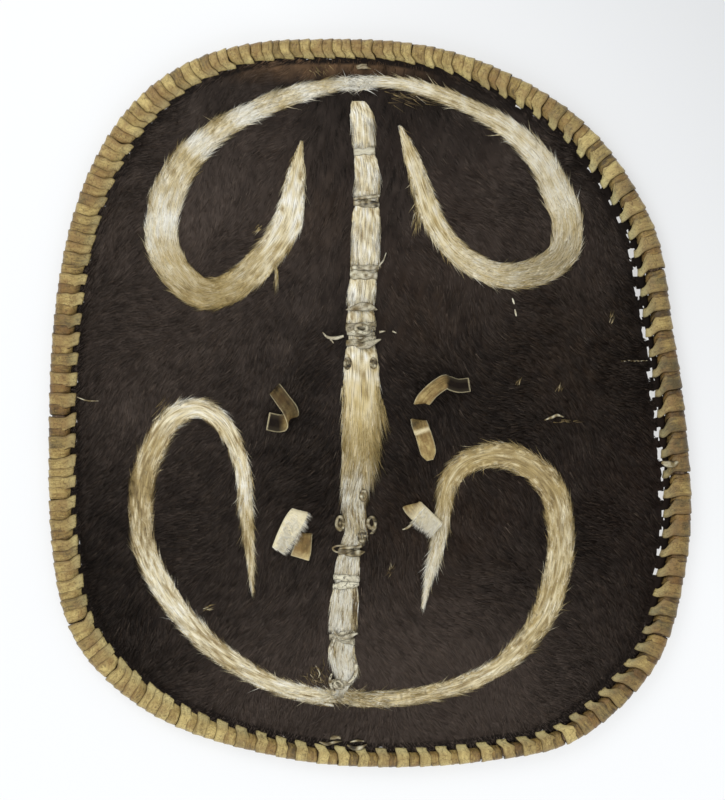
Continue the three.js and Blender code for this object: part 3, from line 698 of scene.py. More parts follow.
# places in the front view: along the centre strip, its half width by height, along the staff, and along
# each scroll
stripLine = [(358, 102), (362, 114), (364, 150), (367.5, 175), (366.5, 200), (365, 265), (361, 300),
    (361, 340), (362, 400), (360, 450), (353.5, 500), (356, 528), (349, 552), (347, 572), (344, 610),
    (341.5, 650), (346, 672), (341, 690)]
stripHalf = [(102, 6), (108, 9.5), (116, 12), (140, 11), (150, 10.5), (175, 12.5), (200, 12.5), (220, 14),
    (262, 14), (300, 14), (340, 15), (375, 17.5), (430, 18), (470, 15), (500, 11.5), (535, 10.5), (556, 12),
    (600, 14), (640, 13), (658, 13.5), (676, 10), (690, 5)]
staffLine = [(361, 97), (366, 150), (368, 200), (365, 265), (361, 300), (361, 340), (362, 400), (360, 450),
    (353, 500), (350, 545), (347, 600), (344, 650), (342, 688)]
scrolls = {
    "upper_left": {
        "line": [(301, 147), (296, 179), (288, 224), (265, 260), (235, 287), (206, 295), (179, 276),
            (163, 245), (164, 214), (173, 184), (194, 153), (224, 128), (265, 107), (306, 92), (352, 82)],
        "white": [(0, 0), (0.12, 0.25), (0.2, 0), (0.33, -0.28), (0.42, -0.06), (0.49, 0.05), (0.53, 0.45),
            (0.57, 0.1), (0.655, -0.1), (0.69, 0.35), (0.745, -0.05), (0.79, 0.4), (0.865, 0),
            (0.905, 0.35), (0.955, 0.05), (1, 0.45)],
        "gold": [(0, 0.5), (0.12, 0.1), (0.22, 0.5), (0.33, 0.95), (0.45, 0.6), (0.49, 0.4), (0.53, 0),
            (0.58, 0.35), (0.655, 0.7), (0.69, 0.1), (0.745, 0.65), (0.79, 0.1), (0.865, 0.6), (0.905, 0.1),
            (0.955, 0.6), (1, 0)],
        "half": [(0, 1.5), (0.05, 8), (0.14, 14), (0.3, 14), (0.5, 16), (0.62, 16), (0.75, 11), (0.9, 9),
            (0.95, 7), (1, 5)],
        "flow": 1,
    },
    "upper_right": {
        "line": [(401, 131), (414, 166), (422, 194), (434, 224), (452, 250), (478, 269), (508, 277),
            (542, 270), (564, 250), (566, 219), (557, 194), (542, 163), (521, 140), (498, 122), (465, 105),
            (432, 92), (401, 84), (359, 81)],
        "white": [(0, -0.05), (0.2, 0.05), (0.4, -0.02), (0.55, 0.15), (0.7, 0.12), (0.85, 0), (1, 0.3)],
        "gold": [(0, 0.5), (0.3, 0.5), (0.42, 0.7), (0.55, 0.35), (0.7, 0.3), (0.85, 0.45), (1, 0.1)],
        "half": [(0, 1.5), (0.05, 7), (0.14, 10), (0.3, 11), (0.42, 14), (0.55, 15.5), (0.68, 11),
            (0.78, 7.5), (0.88, 7), (0.94, 5), (1, 4.5)],
        "flow": 1,
    },
    "lower_left": {
        "line": [(254, 591), (251, 553), (247, 507), (245, 477), (237, 446), (222, 421), (199, 408),
            (173, 419), (156, 446), (145, 477), (142, 510), (145, 543), (158, 576), (179, 609), (209, 642),
            (245, 668), (281, 686), (331, 698)],
        "white": [(0, 0.05), (0.1, -0.16), (0.17, 0.2), (0.25, -0.06), (0.33, 0.05), (0.42, -0.2),
            (0.5, -0.42), (0.56, -0.26), (0.62, 0), (0.72, 0.05), (0.8, -0.12), (0.92, 0.05), (1, -0.05)],
        "gold": [(0, 0.3), (0.1, 0.5), (0.17, 0.05), (0.3, 0.15), (0.42, 0.15), (0.5, 0.42), (0.58, 0),
            (0.66, -0.1), (0.78, 0), (0.88, 0.15), (1, 0.1)],
        "half": [(0, 1), (0.08, 5), (0.2, 7.5), (0.32, 9.5), (0.45, 12), (0.6, 11.5), (0.75, 11),
            (0.9, 8.5), (1, 8)],
        "flow": -1,
    },
    "lower_right": {
        "line": [(422, 607), (429, 573), (437, 543), (442, 512), (447, 484), (460, 465), (483, 455),
            (508, 456), (534, 469), (552, 492), (559, 522), (559, 553), (553, 584), (541, 617), (516, 650),
            (485, 673), (447, 688), (401, 697), (353, 699)],
        "white": [(0, 0.2), (0.1, 0.12), (0.17, -0.18), (0.3, -0.30), (0.42, -0.24), (0.55, -0.15),
            (0.66, -0.22), (0.75, -0.02), (0.85, -0.14), (0.95, 0), (1, 0)],
        "gold": [(0, 0.1), (0.1, 0.15), (0.18, 0.5), (0.3, 0.55), (0.42, 0.4), (0.55, 0.35), (0.66, 0.55),
            (0.78, 0.25), (0.88, 0.45), (0.95, 0.7), (1, 0.3)],
        "half": [(0, 1), (0.08, 6), (0.18, 8), (0.3, 12), (0.42, 13), (0.6, 13), (0.75, 9), (0.9, 8), (1, 7)],
        "flow": -1,
    },
}


def lineOf(points, count):
    return smoothPath([at(*p) for p in points], count)


def strandTone(across, along, seed):  # strands of like colour run a few cm along the hair
    return np.clip(0.54 + 0.22 * patchNoise(across * 15, along * 0.3, 15, seed)
        + 0.12 * patchNoise(across * 1.6, along * 0.6, 15, seed + 1), 0, 1)


def stripX(down):
    return np.interp(down, [p[1] for p in stripLine], [p[0] for p in stripLine]) - middle[0]


def grip(down):
    return 2.4 * np.exp(-((down - 428) / 55) ** 2)


def makeScroll(name, look):
    count, across = stripMesh["scrollRings"], stripMesh["scrollCorners"]
    path = lineOf(look["line"], count)
    s = np.linspace(0, 1, count)
    half = np.interp(s, *zip(*look["half"]))
    d = tangents(path)
    normal = np.stack([-d[:, 1], d[:, 0]], -1)
    seed = sum(map(ord, name))
    wander = 1 + 0.07 * patchNoise(s * 600, 0 * s, 30, seed)
    w = np.concatenate([np.linspace(-1, 1, across), np.linspace(0.9, -0.9, across - 2)])
    ragged = np.stack([patchNoise(s * 600, 0 * s + 40 * (v > 0), 7, seed + 5) for v in w], 1) * 0.5
    offset = w * (half * wander)[:, None] + ragged * np.sign(w) * (np.abs(w) > 0.8)
    x, y = path[:, :1] + normal[:, :1] * offset, path[:, 1:] + normal[:, 1:] * offset
    crown = 0.5 + 1.9 * (1 - np.abs(w) ** 4)
    height = np.where(np.arange(len(w)) < across, crown, -0.3)
    z = front(x, y) + height + 0.25 * patchNoise(x, y, 6, seed + 9) * (height > 0)
    points, quads, triangles = sweep(np.stack([x, y, z], -1))
    white, gold = (np.interp(s, *zip(*look[k]))[:, None] for k in ("white", "gold"))
    yellow = np.clip(gold + 0.2 * patchNoise(x, y, 30, 31), 0, 1)
    along = np.broadcast_to(s[:, None] * 600, x.shape)
    values = {"yellow": yellow, "tone": np.clip(strandTone(offset, along, seed) * 0.85 + white * 0.8, 0, 1),
        "across": offset * 1.4, "along": along * 0.05}
    makePiece(
        "pale_scroll_" + name, points, quads, triangles, values, [paleSkinMaterial],
        replaces=["scroll_" + name],
    )


for scrollName, scrollLook in scrolls.items():
    makeScroll(scrollName, scrollLook)


def stripTop(x, y, down, half):
    return front(x, y) + 0.6 + (2.2 + grip(down)) * np.maximum(0, 1 - np.abs((x - stripX(down)) / half) ** 3)


tieRows = [(153, 6), (203, 9), (274, 12), (309, 8), (336, 20), (549, 11), (580, 12), (635, 12), (681, 9)]


def pinch(down):  # the strip is drawn in under each thong
    return 1 - sum(0.22 * np.exp(-((down - row) / (length * 0.6)) ** 2) for row, length in tieRows)


def stripYellow(x, down):  # the hair is rubbed yellow where a hand holds the staff
    return np.clip(0.12 - 0.16 * np.exp(-((down - 125) / 24) ** 2)
        + 0.95 * np.exp(-((down - 422) / 48) ** 4) + 0.25 * patchNoise(x, down, 24, 77), 0, 1)


def makeCentreStrip():
    count, across = stripMesh["centreRings"], stripMesh["centreCorners"]
    down = np.linspace(102, 690, count)[:, None]
    half = np.interp(down, *zip(*stripHalf)) * pinch(down)
    w = np.concatenate([np.linspace(-1, 1, across), np.linspace(0.9, -0.9, across - 2)])
    ragged = 0.7 * patchNoise(down, 0 * down + 60 * np.sign(w), 8, 71)
    x = stripX(down) + w * half + ragged * (np.abs(w) > 0.8)
    y = middle[1] - down + 0 * w
    far = down + 0 * w
    z = np.where(np.arange(len(w)) < across, stripTop(x, y, far, half + 0 * w), front(x, y) - 0.2)
    points, quads, triangles = sweep(np.stack([x, y, z], -1))
    off = x - stripX(down)
    values = {
        "yellow": stripYellow(x, far), "tone": strandTone(off, far, 7) * 0.95,
        "across": off * 1.1, "along": far * 0.05,
    }
    makePiece(
        "pale_centre_strip", points, quads, triangles, values, [paleSkinMaterial],
        replaces=["centre_strip"],
    )


makeCentreStrip()
print("pale strips made")

# loose hair beside the strips: box (left, top, right, bottom), direction, spread, lengths, then whiteness,
# yellowness and count
wisps = [
    ((343, 79, 369, 90), 5, 20, (7, 14), 0.85, 0.1, 480),
    ((326, 690, 362, 702), -8, 26, (7, 15), 0.45, 0.35, 560),
    ((362, 692, 384, 703), -6, 14, (8, 14), 0.55, 0.3, 150),
    ((374, 386, 379, 436), -80, 5, (16, 30), 0.28, 0.9, 110),
    ((379, 398, 384, 420), -76, 5, (16, 28), 0.06, 0.6, 34),
    ((342, 380, 346, 465), -94, 4, (10, 18), 0.45, 0.7, 70),
    ((276, 264, 279, 282), -93, 4, (12, 20), 0.30, 0.9, 30),
    ((258, 226, 263, 232), -135, 10, (6, 9), 0.25, 0.8, 10),
    ((149, 188, 154, 212), -88, 12, (8, 14), 0.4, 0.6, 26),
    ((212, 120, 232, 127), 150, 8, (8, 14), 0.45, 0.6, 22),
    ((413, 205, 420, 228), -98, 8, (9, 16), 0.35, 0.7, 26),
    ((152, 402, 166, 424), 52, 8, (10, 20), 0.1, 0.1, 14),
    ((249, 470, 254, 500), -88, 8, (9, 16), 0.35, 0.6, 24),
    ((430, 510, 436, 540), -108, 8, (9, 16), 0.5, 0.5, 24),
    ((372, 690, 420, 694), 4, 8, (10, 20), 0.5, 0.6, 50),
    ((301, 156, 304, 180), -82, 8, (8, 14), 0.45, 0.6, 16),
    ((308, 64, 330, 72), -55, 14, (5, 12), 0.1, 0.3, 12),
    ((384, 92, 420, 100), -12, 14, (8, 16), 0.0, 0.1, 14),
    ((514, 380, 518, 386), 60, 10, (4, 8), 0.0, 0, 9), ((553, 387, 560, 393), 60, 12, (5, 8), 0.0, 0, 10),
    ((608, 316, 612, 326), 72, 6, (6, 10), 0.0, 0, 9), ((204, 604, 212, 610), 20, 10, (4, 8), 0.1, 0.3, 14),
    ((385, 94, 432, 106), -14, 10, (12, 22), -0.1, 0.2, 16),
    ((387, 564, 393, 572), 50, 16, (5, 8), 0.0, 0, 12),
    ((619, 360.5, 647, 361.5), 2, 4, (1.5, 2.4), 0.25, 0.1, 34),
    ((550, 418, 575, 423), 4, 8, (6, 12), 0.0, 0.1, 9),
    ((308, 664, 328, 682), -60, 30, (6, 12), -0.1, 0, 46),
]


def makePaleHairs():
    hairs = {key: [] for key in ("x", "y", "z", "heading", "length", "width", "yellow", "tone")}
    steps = 900

    def add(**more):
        for key, value in more.items():
            hairs[key].append(value)

    for name, look in scrolls.items():
        n, seed = int(stripFinish["hairs"] * stripFinish["scrollShare"]), sum(map(ord, name))
        path = lineOf(look["line"], steps)
        d = tangents(path)
        half = np.interp(np.linspace(0, 1, steps), *zip(*look["half"]))
        pick = chance.choice(steps, n, p=(half + 1.5) / (half + 1.5).sum())
        w = chance.uniform(-1, 1, n)
        w = np.sign(w) * np.abs(w) ** 0.9
        off = w * half[pick]
        turned = look["flow"] * d[pick]
        x = path[pick, 0] - d[pick, 1] * off - turned[:, 0] * stripFinish["rootsBehind"]
        y = path[pick, 1] + d[pick, 0] * off - turned[:, 1] * stripFinish["rootsBehind"]
        lean = look["flow"] * w * 0.07 + chance.normal(0, 0.045, n) + 0.10 * patchNoise(x, y, 22, 91)
        stray = chance.random(n)
        lean = lean + (stray < 0.05) * chance.normal(0, 0.35, n)
        lean = lean + (np.abs(w) > 0.86) * look["flow"] * np.sign(w) * chance.gamma(1.2, 0.07, n)
        white, gold = (np.interp(pick / steps, *zip(*look[k])) for k in ("white", "gold"))
        tone = strandTone(off, pick / 1.5, seed) + white + chance.normal(0, 0.12, n)
        shorter = np.interp(pick / steps, (0, 0.1, 1), (0.7, 1, 1))
        add(
            x=x, y=y, z=front(x, y) + 0.5 + 1.7 * (1 - np.abs(w) ** 4),
            heading=np.arctan2(turned[:, 1], turned[:, 0]) + lean,
            tone=tone - 0.22 * (np.abs(w) > 0.84) * chance.random(n),
            yellow=gold + 0.2 * patchNoise(x, y, 30, 31) + chance.normal(0, 0.15, n),
            length=chance.uniform(*stripFinish["length"], n) * (1 - 0.3 * np.abs(w)) * shorter,
            width=chance.uniform(*stripFinish["width"], n),
        )
    n = stripFinish["hairs"] - sum(map(len, hairs["x"]))
    down = chance.uniform(99, 686, n)
    half = np.interp(down, *zip(*stripHalf)) * pinch(down)
    w = chance.uniform(-1, 1, n)
    down = np.maximum(down, 101 + 6 * (w + 1) + chance.uniform(0, 4, n))  # the strip begins on the slant
    x, y = stripX(down) + w * half, middle[1] - down
    slope = -np.pi / 2 + (stripX(down + 4) - stripX(down - 4)) / 8
    fringe = np.exp(-((down - 448) / 30) ** 2) * (w > 0.5)
    heading = slope + w * 0.05 + chance.normal(0, 0.05, n) + 0.06 * patchNoise(x, y, 20, 93)
    heading = heading + fringe * chance.uniform(0, 0.5, n)
    # painted shade and light on the strip's hair: a dark crevice near its right edge about 598 down, a darker
    # band about 515 and over the right of the grip; from 540 down the hair is painted lighter, where the
    # strip turns from the lamps
    shade = 1.5 * np.exp(-((down - 598) / 18) ** 2) * smooth((w - 0.45) / 0.2) * (w < 0.93)
    shade = shade + 0.3 * np.exp(-((down - 515) / 24) ** 2)
    shade = shade + 0.25 * np.exp(-((down - 420) / 34) ** 2) * smooth(w + 0.3)
    shade = shade - 0.12 * smooth((down - 540) / 30)
    tone = strandTone(w * half, down, 7) + 0.34 + 0.22 * patchNoise(w * half * 1.6, down * 0.5, 4, 88)
    # painted shade: the hair along both edges of the strip is painted darker, most on the right
    tone = tone + chance.normal(0, 0.19, n) - 0.35 * (w > 0.84) - 0.2 * (w < -0.9)
    tone = tone - 0.50 * stripYellow(x, down)
    gap = np.min(np.abs(down[:, None] + 9 - np.array([row for row, _ in tieRows])), 1)
    add(
        x=x, y=y, z=stripTop(x, y, down, half), heading=heading,
        tone=tone - shade - 0.7 * (chance.random(n) < np.where(down > 500, 0.12, 0.06)),
        yellow=stripYellow(x, down) + chance.normal(0, 0.15, n),
        length=np.minimum(chance.uniform(*stripFinish["length"], n), 8 + gap * 0.9) * (0.9 + 0.25 * fringe),
        width=chance.uniform(*stripFinish["width"], n),
    )
    for (a0, d0, a1, d1), turn, spread, lengths, white, golden, n in wisps:
        x, y = at(chance.uniform(a0, a1, n), chance.uniform(d0, d1, n))
        z = front(x, y) + chance.uniform(0.8, 3.2, n)
        bothWays = 180 * (chance.random(n) < 0.5) if spread > 15 else 0
        add(
            x=x, y=y, z=z,
            heading=np.radians(turn + bothWays) + chance.normal(0, math.radians(spread), n),
            length=chance.uniform(*lengths, n), width=chance.uniform(*stripFinish["width"], n),
            tone=chance.normal(white, 0.22, n), yellow=chance.normal(golden, 0.2, n),
        )
    x, y, z, heading, length, width, yellow, tone = (np.concatenate(hairs[key]) for key in hairs)
    n = len(x)
    tipX, tipY = x + np.cos(heading) * length, y + np.sin(heading) * length
    height = z - front(x, y)
    lift = np.maximum(chance.uniform(*stripFinish["lift"], n), height * chance.uniform(0.75, 1.12, n))
    values = {"tone": np.clip(tone, 0, 1), "yellow": np.clip(yellow, 0, 1)}
    makeHairs(
        "pale_hairs", x, y, z, heading, length, width, front(tipX, tipY) + lift, values,
        paleHairMaterial, "pale_haired_hide",
    )


makePaleHairs()


def makeDarkHairs(name, seed):
    draw = np.random.default_rng(seed)
    n = coat["hairs"]
    t, share = draw.random(n), np.sqrt(draw.random(n))
    angle = np.degrees(np.arctan2(*onRim(t, 0)[::-1]))
    bare = 5.5 * ((angle > hideLook["openRight"][0] - 4) & (angle < hideLook["openRight"][1] + 4))
    ex, ey = onRim(t, -11.4 - bare * 1.5)
    apexX, apexY = panel["apex"]
    x, y = apexX + (ex - apexX) * share, apexY + (ey - apexY) * share
    outward = np.tanh((x - stripX(middle[1] - y)) / 70)
    heading = -np.pi / 2 + outward * 0.85 + 0.5 * patchNoise(x, y, 170, 41) + 0.16 * patchNoise(x, y, 40, 43)
    heading = heading + draw.normal(0, coat["flow"], n) + (draw.random(n) < 0.05) * draw.normal(0, 0.4, n)
    short = 1 - 0.5 * np.minimum(1, redness(x, y))
    length = draw.uniform(*coat["length"], n) * short
    tx, ty = x + np.cos(heading) * length, y + np.sin(heading) * length
    length = np.where(reach(tx, ty) < 0.985, length, length * 0.3)
    tx, ty = x + np.cos(heading) * length, y + np.sin(heading) * length
    lift = front(tx, ty) + draw.uniform(*coat["lift"], n)
    lift = lift + (draw.random(n) < 0.015) * draw.uniform(0.4, 1.6, n)
    holes = np.array(openHoles)
    clear = np.ones(n, bool)
    for part in (0, 0.5, 1):
        sx, sy = x + (tx - x) * part, y + (ty - y) * part
        clear &= np.min((sx[:, None] - holes[:, 0]) ** 2 + (sy[:, None] - holes[:, 1]) ** 2, 1) > 5.0 ** 2
    tone = np.clip(draw.gamma(1.2, 0.05, n) + 0.10 * patchNoise(x * np.cos(0.4) * 4, y * 0.5, 14, 49)
        + (draw.random(n) < 0.004) * 0.9, 0, 1)
    # the first tint is painted sheen, greyer where the coat catches light
    values = {"tone": tone, "paintedSheen": np.clip(coatSheen(x, y) + draw.normal(0, 0.10, n), 0, 1.3),
        "red": np.clip(redness(x, y) * draw.uniform(0.5, 1.1, n) + 0.10 * (draw.random(n) < 0.15), 0, 1)}
    x, y, heading, length, lift, wide = (v[clear]
        for v in (x, y, heading, length, lift, draw.uniform(*coat["width"], n)))
    makeHairs(name, x, y, front(x, y), heading, length, wide, lift,
        {key: v[clear] for key, v in values.items()}, coatMaterial, "dark_haired_hide")


makeDarkHairs("dark_hairs_under", 5)
makeDarkHairs("dark_hairs_over", 6)
print("hair laid")

# lashing: every turn of the rawhide strip round the stick
lashing = {
    "around": 40, "thickness": 1.5, "wobble": 0.35,
    # narrow: how much a long turn narrows at its hole; step: where a turn lies over the last;
    # follow: how nearly the short turns follow the long ones
    "columns": ("towards", "spread", "width", "narrow", "shortWidth", "slant", "tone", "shortTone", "pale",
        "step", "follow"),
    # tone and shortTone: partly the rawhide's own colour, partly painted light: the turns are painted darkest
    # on the right and lightest at the bottom, as the light falls
    "sides": [
        (180, 50, 14.0, 0.02, 11.4, 3.0, 0.26, 0.25, 0.5, 0.9, 0.0),
        (0, 55, 17.6, 0.50, 8.0, 8.5, 0.07, 0.04, 0.5, 1.1, 0.0),
        (-90, 34, 12.2, 0.04, 11.0, 4.5, 0.80, 0.30, 0.85, 0.8, 0.0),
        (39, 21, 14.8, 0.38, 9.0, 7.5, 0.56, 0.15, 1.25, 1.2, 0.05),
        (90, 38, 13.6, 0.16, 13.4, 4.5, 0.60, 0.56, 0.55, 2.2, 0.95),
        (130, 27, 13.2, 0.12, 13.2, 6.0, 0.62, 0.56, 0.55, 2.2, 0.95),
        (-138, 27, 14.6, 0.08, 14.4, 4.0, 0.72, 0.68, 0.7, 2.0, 1.0),
    ],
    "caught": 0.22,  # how many of the other short turns on the left reach in too
}
section = [(-0.5, -0.05), (-0.45, 0.5), (-0.3, 0.6), (-0.05, 0.4), (0.2, 0.44), (0.42, 0.3), (0.5, -0.15),
    (0.28, -0.5), (-0.25, -0.45)]


def closedCurve(p, count):  # Catmull-Rom through the points of many closed turns at once
    k = p.shape[1]
    x = np.linspace(0, k, count, endpoint=False)
    i = x.astype(int)
    f = (x - i)[None, :, None]
    a, b, c, d = p[:, (i - 1) % k], p[:, i % k], p[:, (i + 1) % k], p[:, (i + 2) % k]
    return (0.5 * (2 * b + (c - a) * f + (2 * a - 5 * b + 4 * c - d) * f ** 2
        + (3 * b - a - 3 * c + d) * f ** 3))


def bySide(angle, name):  # a column of the sides' table, blended round the rim
    column = lashing["columns"].index(name)
    weight = (np.stack([np.exp(-((((angle - side[0] + 540) % 360) - 180) / side[1]) ** 2)
        for side in lashing["sides"]]) + 1e-6)
    return (weight * np.array([side[column] for side in lashing["sides"]])[:, None]).sum(0) / weight.sum(0)


# one closed ribbon per turn; u and z across the rim, t along it
def windTurns(loop, centre, width, narrow, slant, tone, pale, overlap):
    n, k = loop.shape[:2]
    step = 1 / rimLine["length"]
    direction = unit(np.roll(loop, -1, 1) - np.roll(loop, 1, 1))
    normal = np.stack([direction[..., 1], -direction[..., 0]], -1)
    outward = ((loop - [[[-1.5, rim["stickHeight"]]]]) * normal).sum(-1).mean(1)
    normal = normal * np.sign(outward)[:, None, None]
    inner = smooth((-loop[..., 0] - 4) / 10)
    around = np.arange(k)[None] / k * 2 * np.pi
    phase = chance.uniform(0, 6.3, (3, n, 1))
    wobble = lashing["wobble"] * (np.sin(2 * around + phase[0]) + 0.7 * np.sin(5 * around + phase[1]))
    wide = width[:, None] * (1 - narrow[:, None] * inner) * (1 + 0.05 * np.sin(3 * around + phase[2]))
    w, h = (np.array(section)[:, i][None, None] for i in (0, 1))
    crease = 0.14 * np.sin(w * 9 + (4 * around + phase[0])[..., None]) * (h > 0)
    rise = h * lashing["thickness"] - w * overlap[:, None, None] + crease
    u = loop[..., 0:1] + normal[..., 0:1] * rise
    z = np.maximum(loop[..., 1:2] + normal[..., 1:2] * rise, 0.05)
    shift = (slant[:, None] * (1 - inner) + wobble)[..., None]
    t = centre[:, None, None] + (w * wide[..., None] + shift) * step
    x, y = onRim(t, u)
    shape = x.shape

    def spread(value):
        return np.broadcast_to(value, shape).ravel()

    values = {
        "tone": np.clip(spread(tone[:, None, None]), 0, 1),
        "pale": np.clip(spread(pale[:, None, None] * (0.35 + 0.75 * inner[..., None])), 0, 1),
        # edge: painted shade, each turn darkened towards both its sides where the turns meet
        "edge": spread(np.clip((np.abs(w) - 0.41) * 10, 0, 0.95)),
        "crack": np.full(int(np.prod(shape)), 0.6),
        "across": spread(w * wide[..., None] * 0.5 + chance.uniform(0, 90, (n, 1, 1))),
        "along": spread((around * 10 * 0.09 + chance.uniform(0, 90, (n, 1)))[..., None]),
    }
    return join([sweep(p, closed=True) for p in np.stack([x, y, z], -1)]), values


def makeLashing():
    count, step = rim["stitches"], 1 / rimLine["length"]
    hole = (np.arange(count) + 0.5) / count + rim["lean"] * step
    hx, hy = onRim(hole, -14.8)
    angle = np.degrees(np.arctan2(hy, hx))
    zf, zb = front(hx, hy), back(hx, hy)
    slack = chance.uniform(-0.9, 0.9, count)

    def point(u, z):
        return np.stack([np.broadcast_to(u, (count,)), np.broadcast_to(z, (count,))], -1)

    long = np.stack([point(-15.9, zf - 1.8), point(-14.8 + slack, zf + 1.0),
        point(-10.6, np.maximum(zf + 1.7, 19.8)), point(-5.4, 21.4), point(-0.2, 21.9 + slack / 2),
        point(5.0, 20.6), point(9.0, 17.0), point(10.6, 11.8), point(10.0, 6.4), point(6.6, 2.4),
        point(1.5, 1.3), point(-4.5, 1.6), point(-9.4, 4.8), point(-13.2, zb - 3.4),
        point(-16.0, zb - 0.4)], 1)
    swing = bySide(angle, "slant") + chance.normal(0, 1.2, count)
    uneven = 0.13 + 0.03 * bySide(angle, "follow")
    body, values = windTurns(closedCurve(long, lashing["around"]), hole,
        bySide(angle, "width") * chance.uniform(0.93, 1.07, count), bySide(angle, "narrow"), swing,
        bySide(angle, "tone") + chance.normal(0, 1, count) * uneven, bySide(angle, "pale"),
        bySide(angle, "step"))
    caught = (chance.random(count) < lashing["caught"]) & (np.abs(angle) > 120)
    follow = np.clip(bySide(angle, "follow") + 0.75 * caught, 0, 0.95) * chance.uniform(0.72, 1, count)
    turn = np.arctan2(long[..., 1] - rim["stickHeight"], long[..., 0])
    radius = 10.15 + chance.uniform(0, 0.3, (count, 1))
    ring = np.stack([radius * np.cos(turn) * np.where(np.cos(turn) < 0, 0.93, 1),
        np.maximum(rim["stickHeight"] + 0.2 + radius * np.sin(turn), 1.0)], -1)
    ring = ring + (long - ring) * follow[:, None, None]
    centre = hole + (0.5 / count) + chance.normal(0, 0.4, count) * step
    under, underValues = windTurns(closedCurve(ring, lashing["around"]), centre,
        bySide(angle, "shortWidth") * chance.uniform(0.9, 1.1, count), 0.12 * follow, swing * 0.9,
        bySide(angle, "shortTone") + chance.normal(0, 1, count) * uneven,
        bySide(angle, "pale") * (0.3 + 0.6 * follow), bySide(angle, "step") * 0.7)
    points, quads, triangles = join([body, under])
    values = {key: np.concatenate([values[key], underValues[key]]) for key in values}
    makePiece(
        "rawhide_lashing", points, quads, triangles, values, [lashingMaterial],
        replaces=["rim_lashing"],
    )


makeLashing()
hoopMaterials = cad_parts["rim_hoop"].data.materials
hoopMaterials.clear()
hoopMaterials.append(stickMaterial)
print("rim lashed")

# staff down the back
staff = {"top": 61, "bottom": 745, "midRadius": 9, "endRadius": 4.6, "gap": 0.9}


def staffRadius(down):
    middleness = smooth(1 - np.abs(down - 404) / 345)
    return staff["endRadius"] + (staff["midRadius"] - staff["endRadius"]) * middleness


def staffX(down):
    across = np.interp(down, [p[1] for p in staffLine], [p[0] for p in staffLine])
    return across - middle[0] - 0.12 * np.maximum(0, down - 688)


def staffHeight(down):
    return dome(staffX(down), middle[1] - down) - staffRadius(down) - staff["gap"]


def makeStaff():
    down = np.linspace(staff["top"], staff["bottom"], 170)[:, None]
    turn = np.linspace(0, 2 * np.pi, 20, endpoint=False)[None]
    knots = 0.35 * sum(np.exp(-((down - k) / 7) ** 2) for k in (128, 236, 455, 598, 701))
    r = staffRadius(down) * (1 + 0.02 * np.sin(3 * turn + down / 40)) + knots - 0.35
    x, z = staffX(down) + r * np.cos(turn), staffHeight(down) + r * np.sin(turn)
    points, quads, triangles = sweep(np.stack([x, middle[1] - down + 0 * turn, z], -1))
    makePiece("bowed_staff", points, quads, triangles, {}, [stickMaterial],
        replaces=["back_staff"])


makeStaff()


# thongs and straps are flat strips swept along a path
def ringsOn(path, wide, up, across, high):  # across and high: one row per ring, one column per corner
    return path[:, None] + wide[:, None] * across[..., None] + up[:, None] * high[..., None]


def tieLoop(down, width, lean):
    onStrip = 101 < down < 690
    x, y = float(stripX(down) if onStrip else staffX(down)), middle[1] - down
    r, z = float(staffRadius(down)) + 0.9, float(staffHeight(down))
    half = max(float(np.interp(down, *zip(*stripHalf)) * pinch(down)) if onStrip else 0, r - 0.9) + 1.0
    top = float(front(np.array(x), np.array(y))) + (3.3 + float(grip(down)) if onStrip else 0.3) + 0.6
    low, belly = z - r - 0.6, max(r, half - 2) + 1
    right = [(half * 0.3, top), (half * 0.7, top - 0.9), (half + 0.4, top - 3.0), (half, (top + z) / 2),
        (belly, z), (r * 0.5, low)]
    left = [(-a, b) for a, b in right[::-1]]
    corners = left[3:] + right + left[:3]
    path = smoothPath([(x + a, y + lean * a / max(half, 1), b) for a, b in corners], 72, closed=True)
    d = unit(np.roll(path, -1, 0) - np.roll(path, 1, 0))
    wide = np.tile([0.0, 1.0, 0.0], (len(path), 1))
    wide = unit(wide - d * (wide * d).sum(1, keepdims=True))
    corner = np.array([(-1, 0), (-0.8, 0.5), (0, 0.65), (0.8, 0.5), (1, 0), (0.8, -0.5), (0, -0.5),
        (-0.8, -0.5)])
    turn = np.arange(len(path)) / len(path) * 2 * np.pi
    ruck = 1 + 0.16 * np.sin(3 * turn + down) + 0.12 * np.sin(7 * turn + down * 2)
    across = corner[:, 0] * (width / 2 * ruck)[:, None]
    return sweep(ringsOn(path, wide, np.cross(d, wide), across, (corner[:, 1] * 1.3)[None]), closed=True)


# a point of the front view, a height over the hair or over the centre strip
def over(across, down, up, onStrip=False):
    x, y = at(across, down)
    z = float(front(np.array(x), np.array(y)))
    if onStrip:
        half = float(np.interp(down, *zip(*stripHalf)))
        z = float(stripTop(np.array(x), np.array(y), np.array(down), np.array(half)))
    return x, y, z + up


def cordBody(points, radii, flat=0.6, count=28):  # radii: one for the whole cord, or several spread along it
    path = smoothPath(points, count)
    d = tangents(path)
    side = unit(np.cross(d, [[0, 0, 1.0]]) + 1e-6)
    turn = np.linspace(0, 2 * np.pi, 8, endpoint=False)
    radii = np.atleast_1d(radii)
    size = np.interp(np.linspace(0, 1, count), np.linspace(0, 1, len(radii)), radii)[:, None]
    return sweep(ringsOn(path, side, np.cross(side, d), np.cos(turn) * size, np.sin(turn) * size * flat))


def cord(spots, radii, flat=0.6):
    return cordBody([over(*spot) for spot in spots], radii, flat)


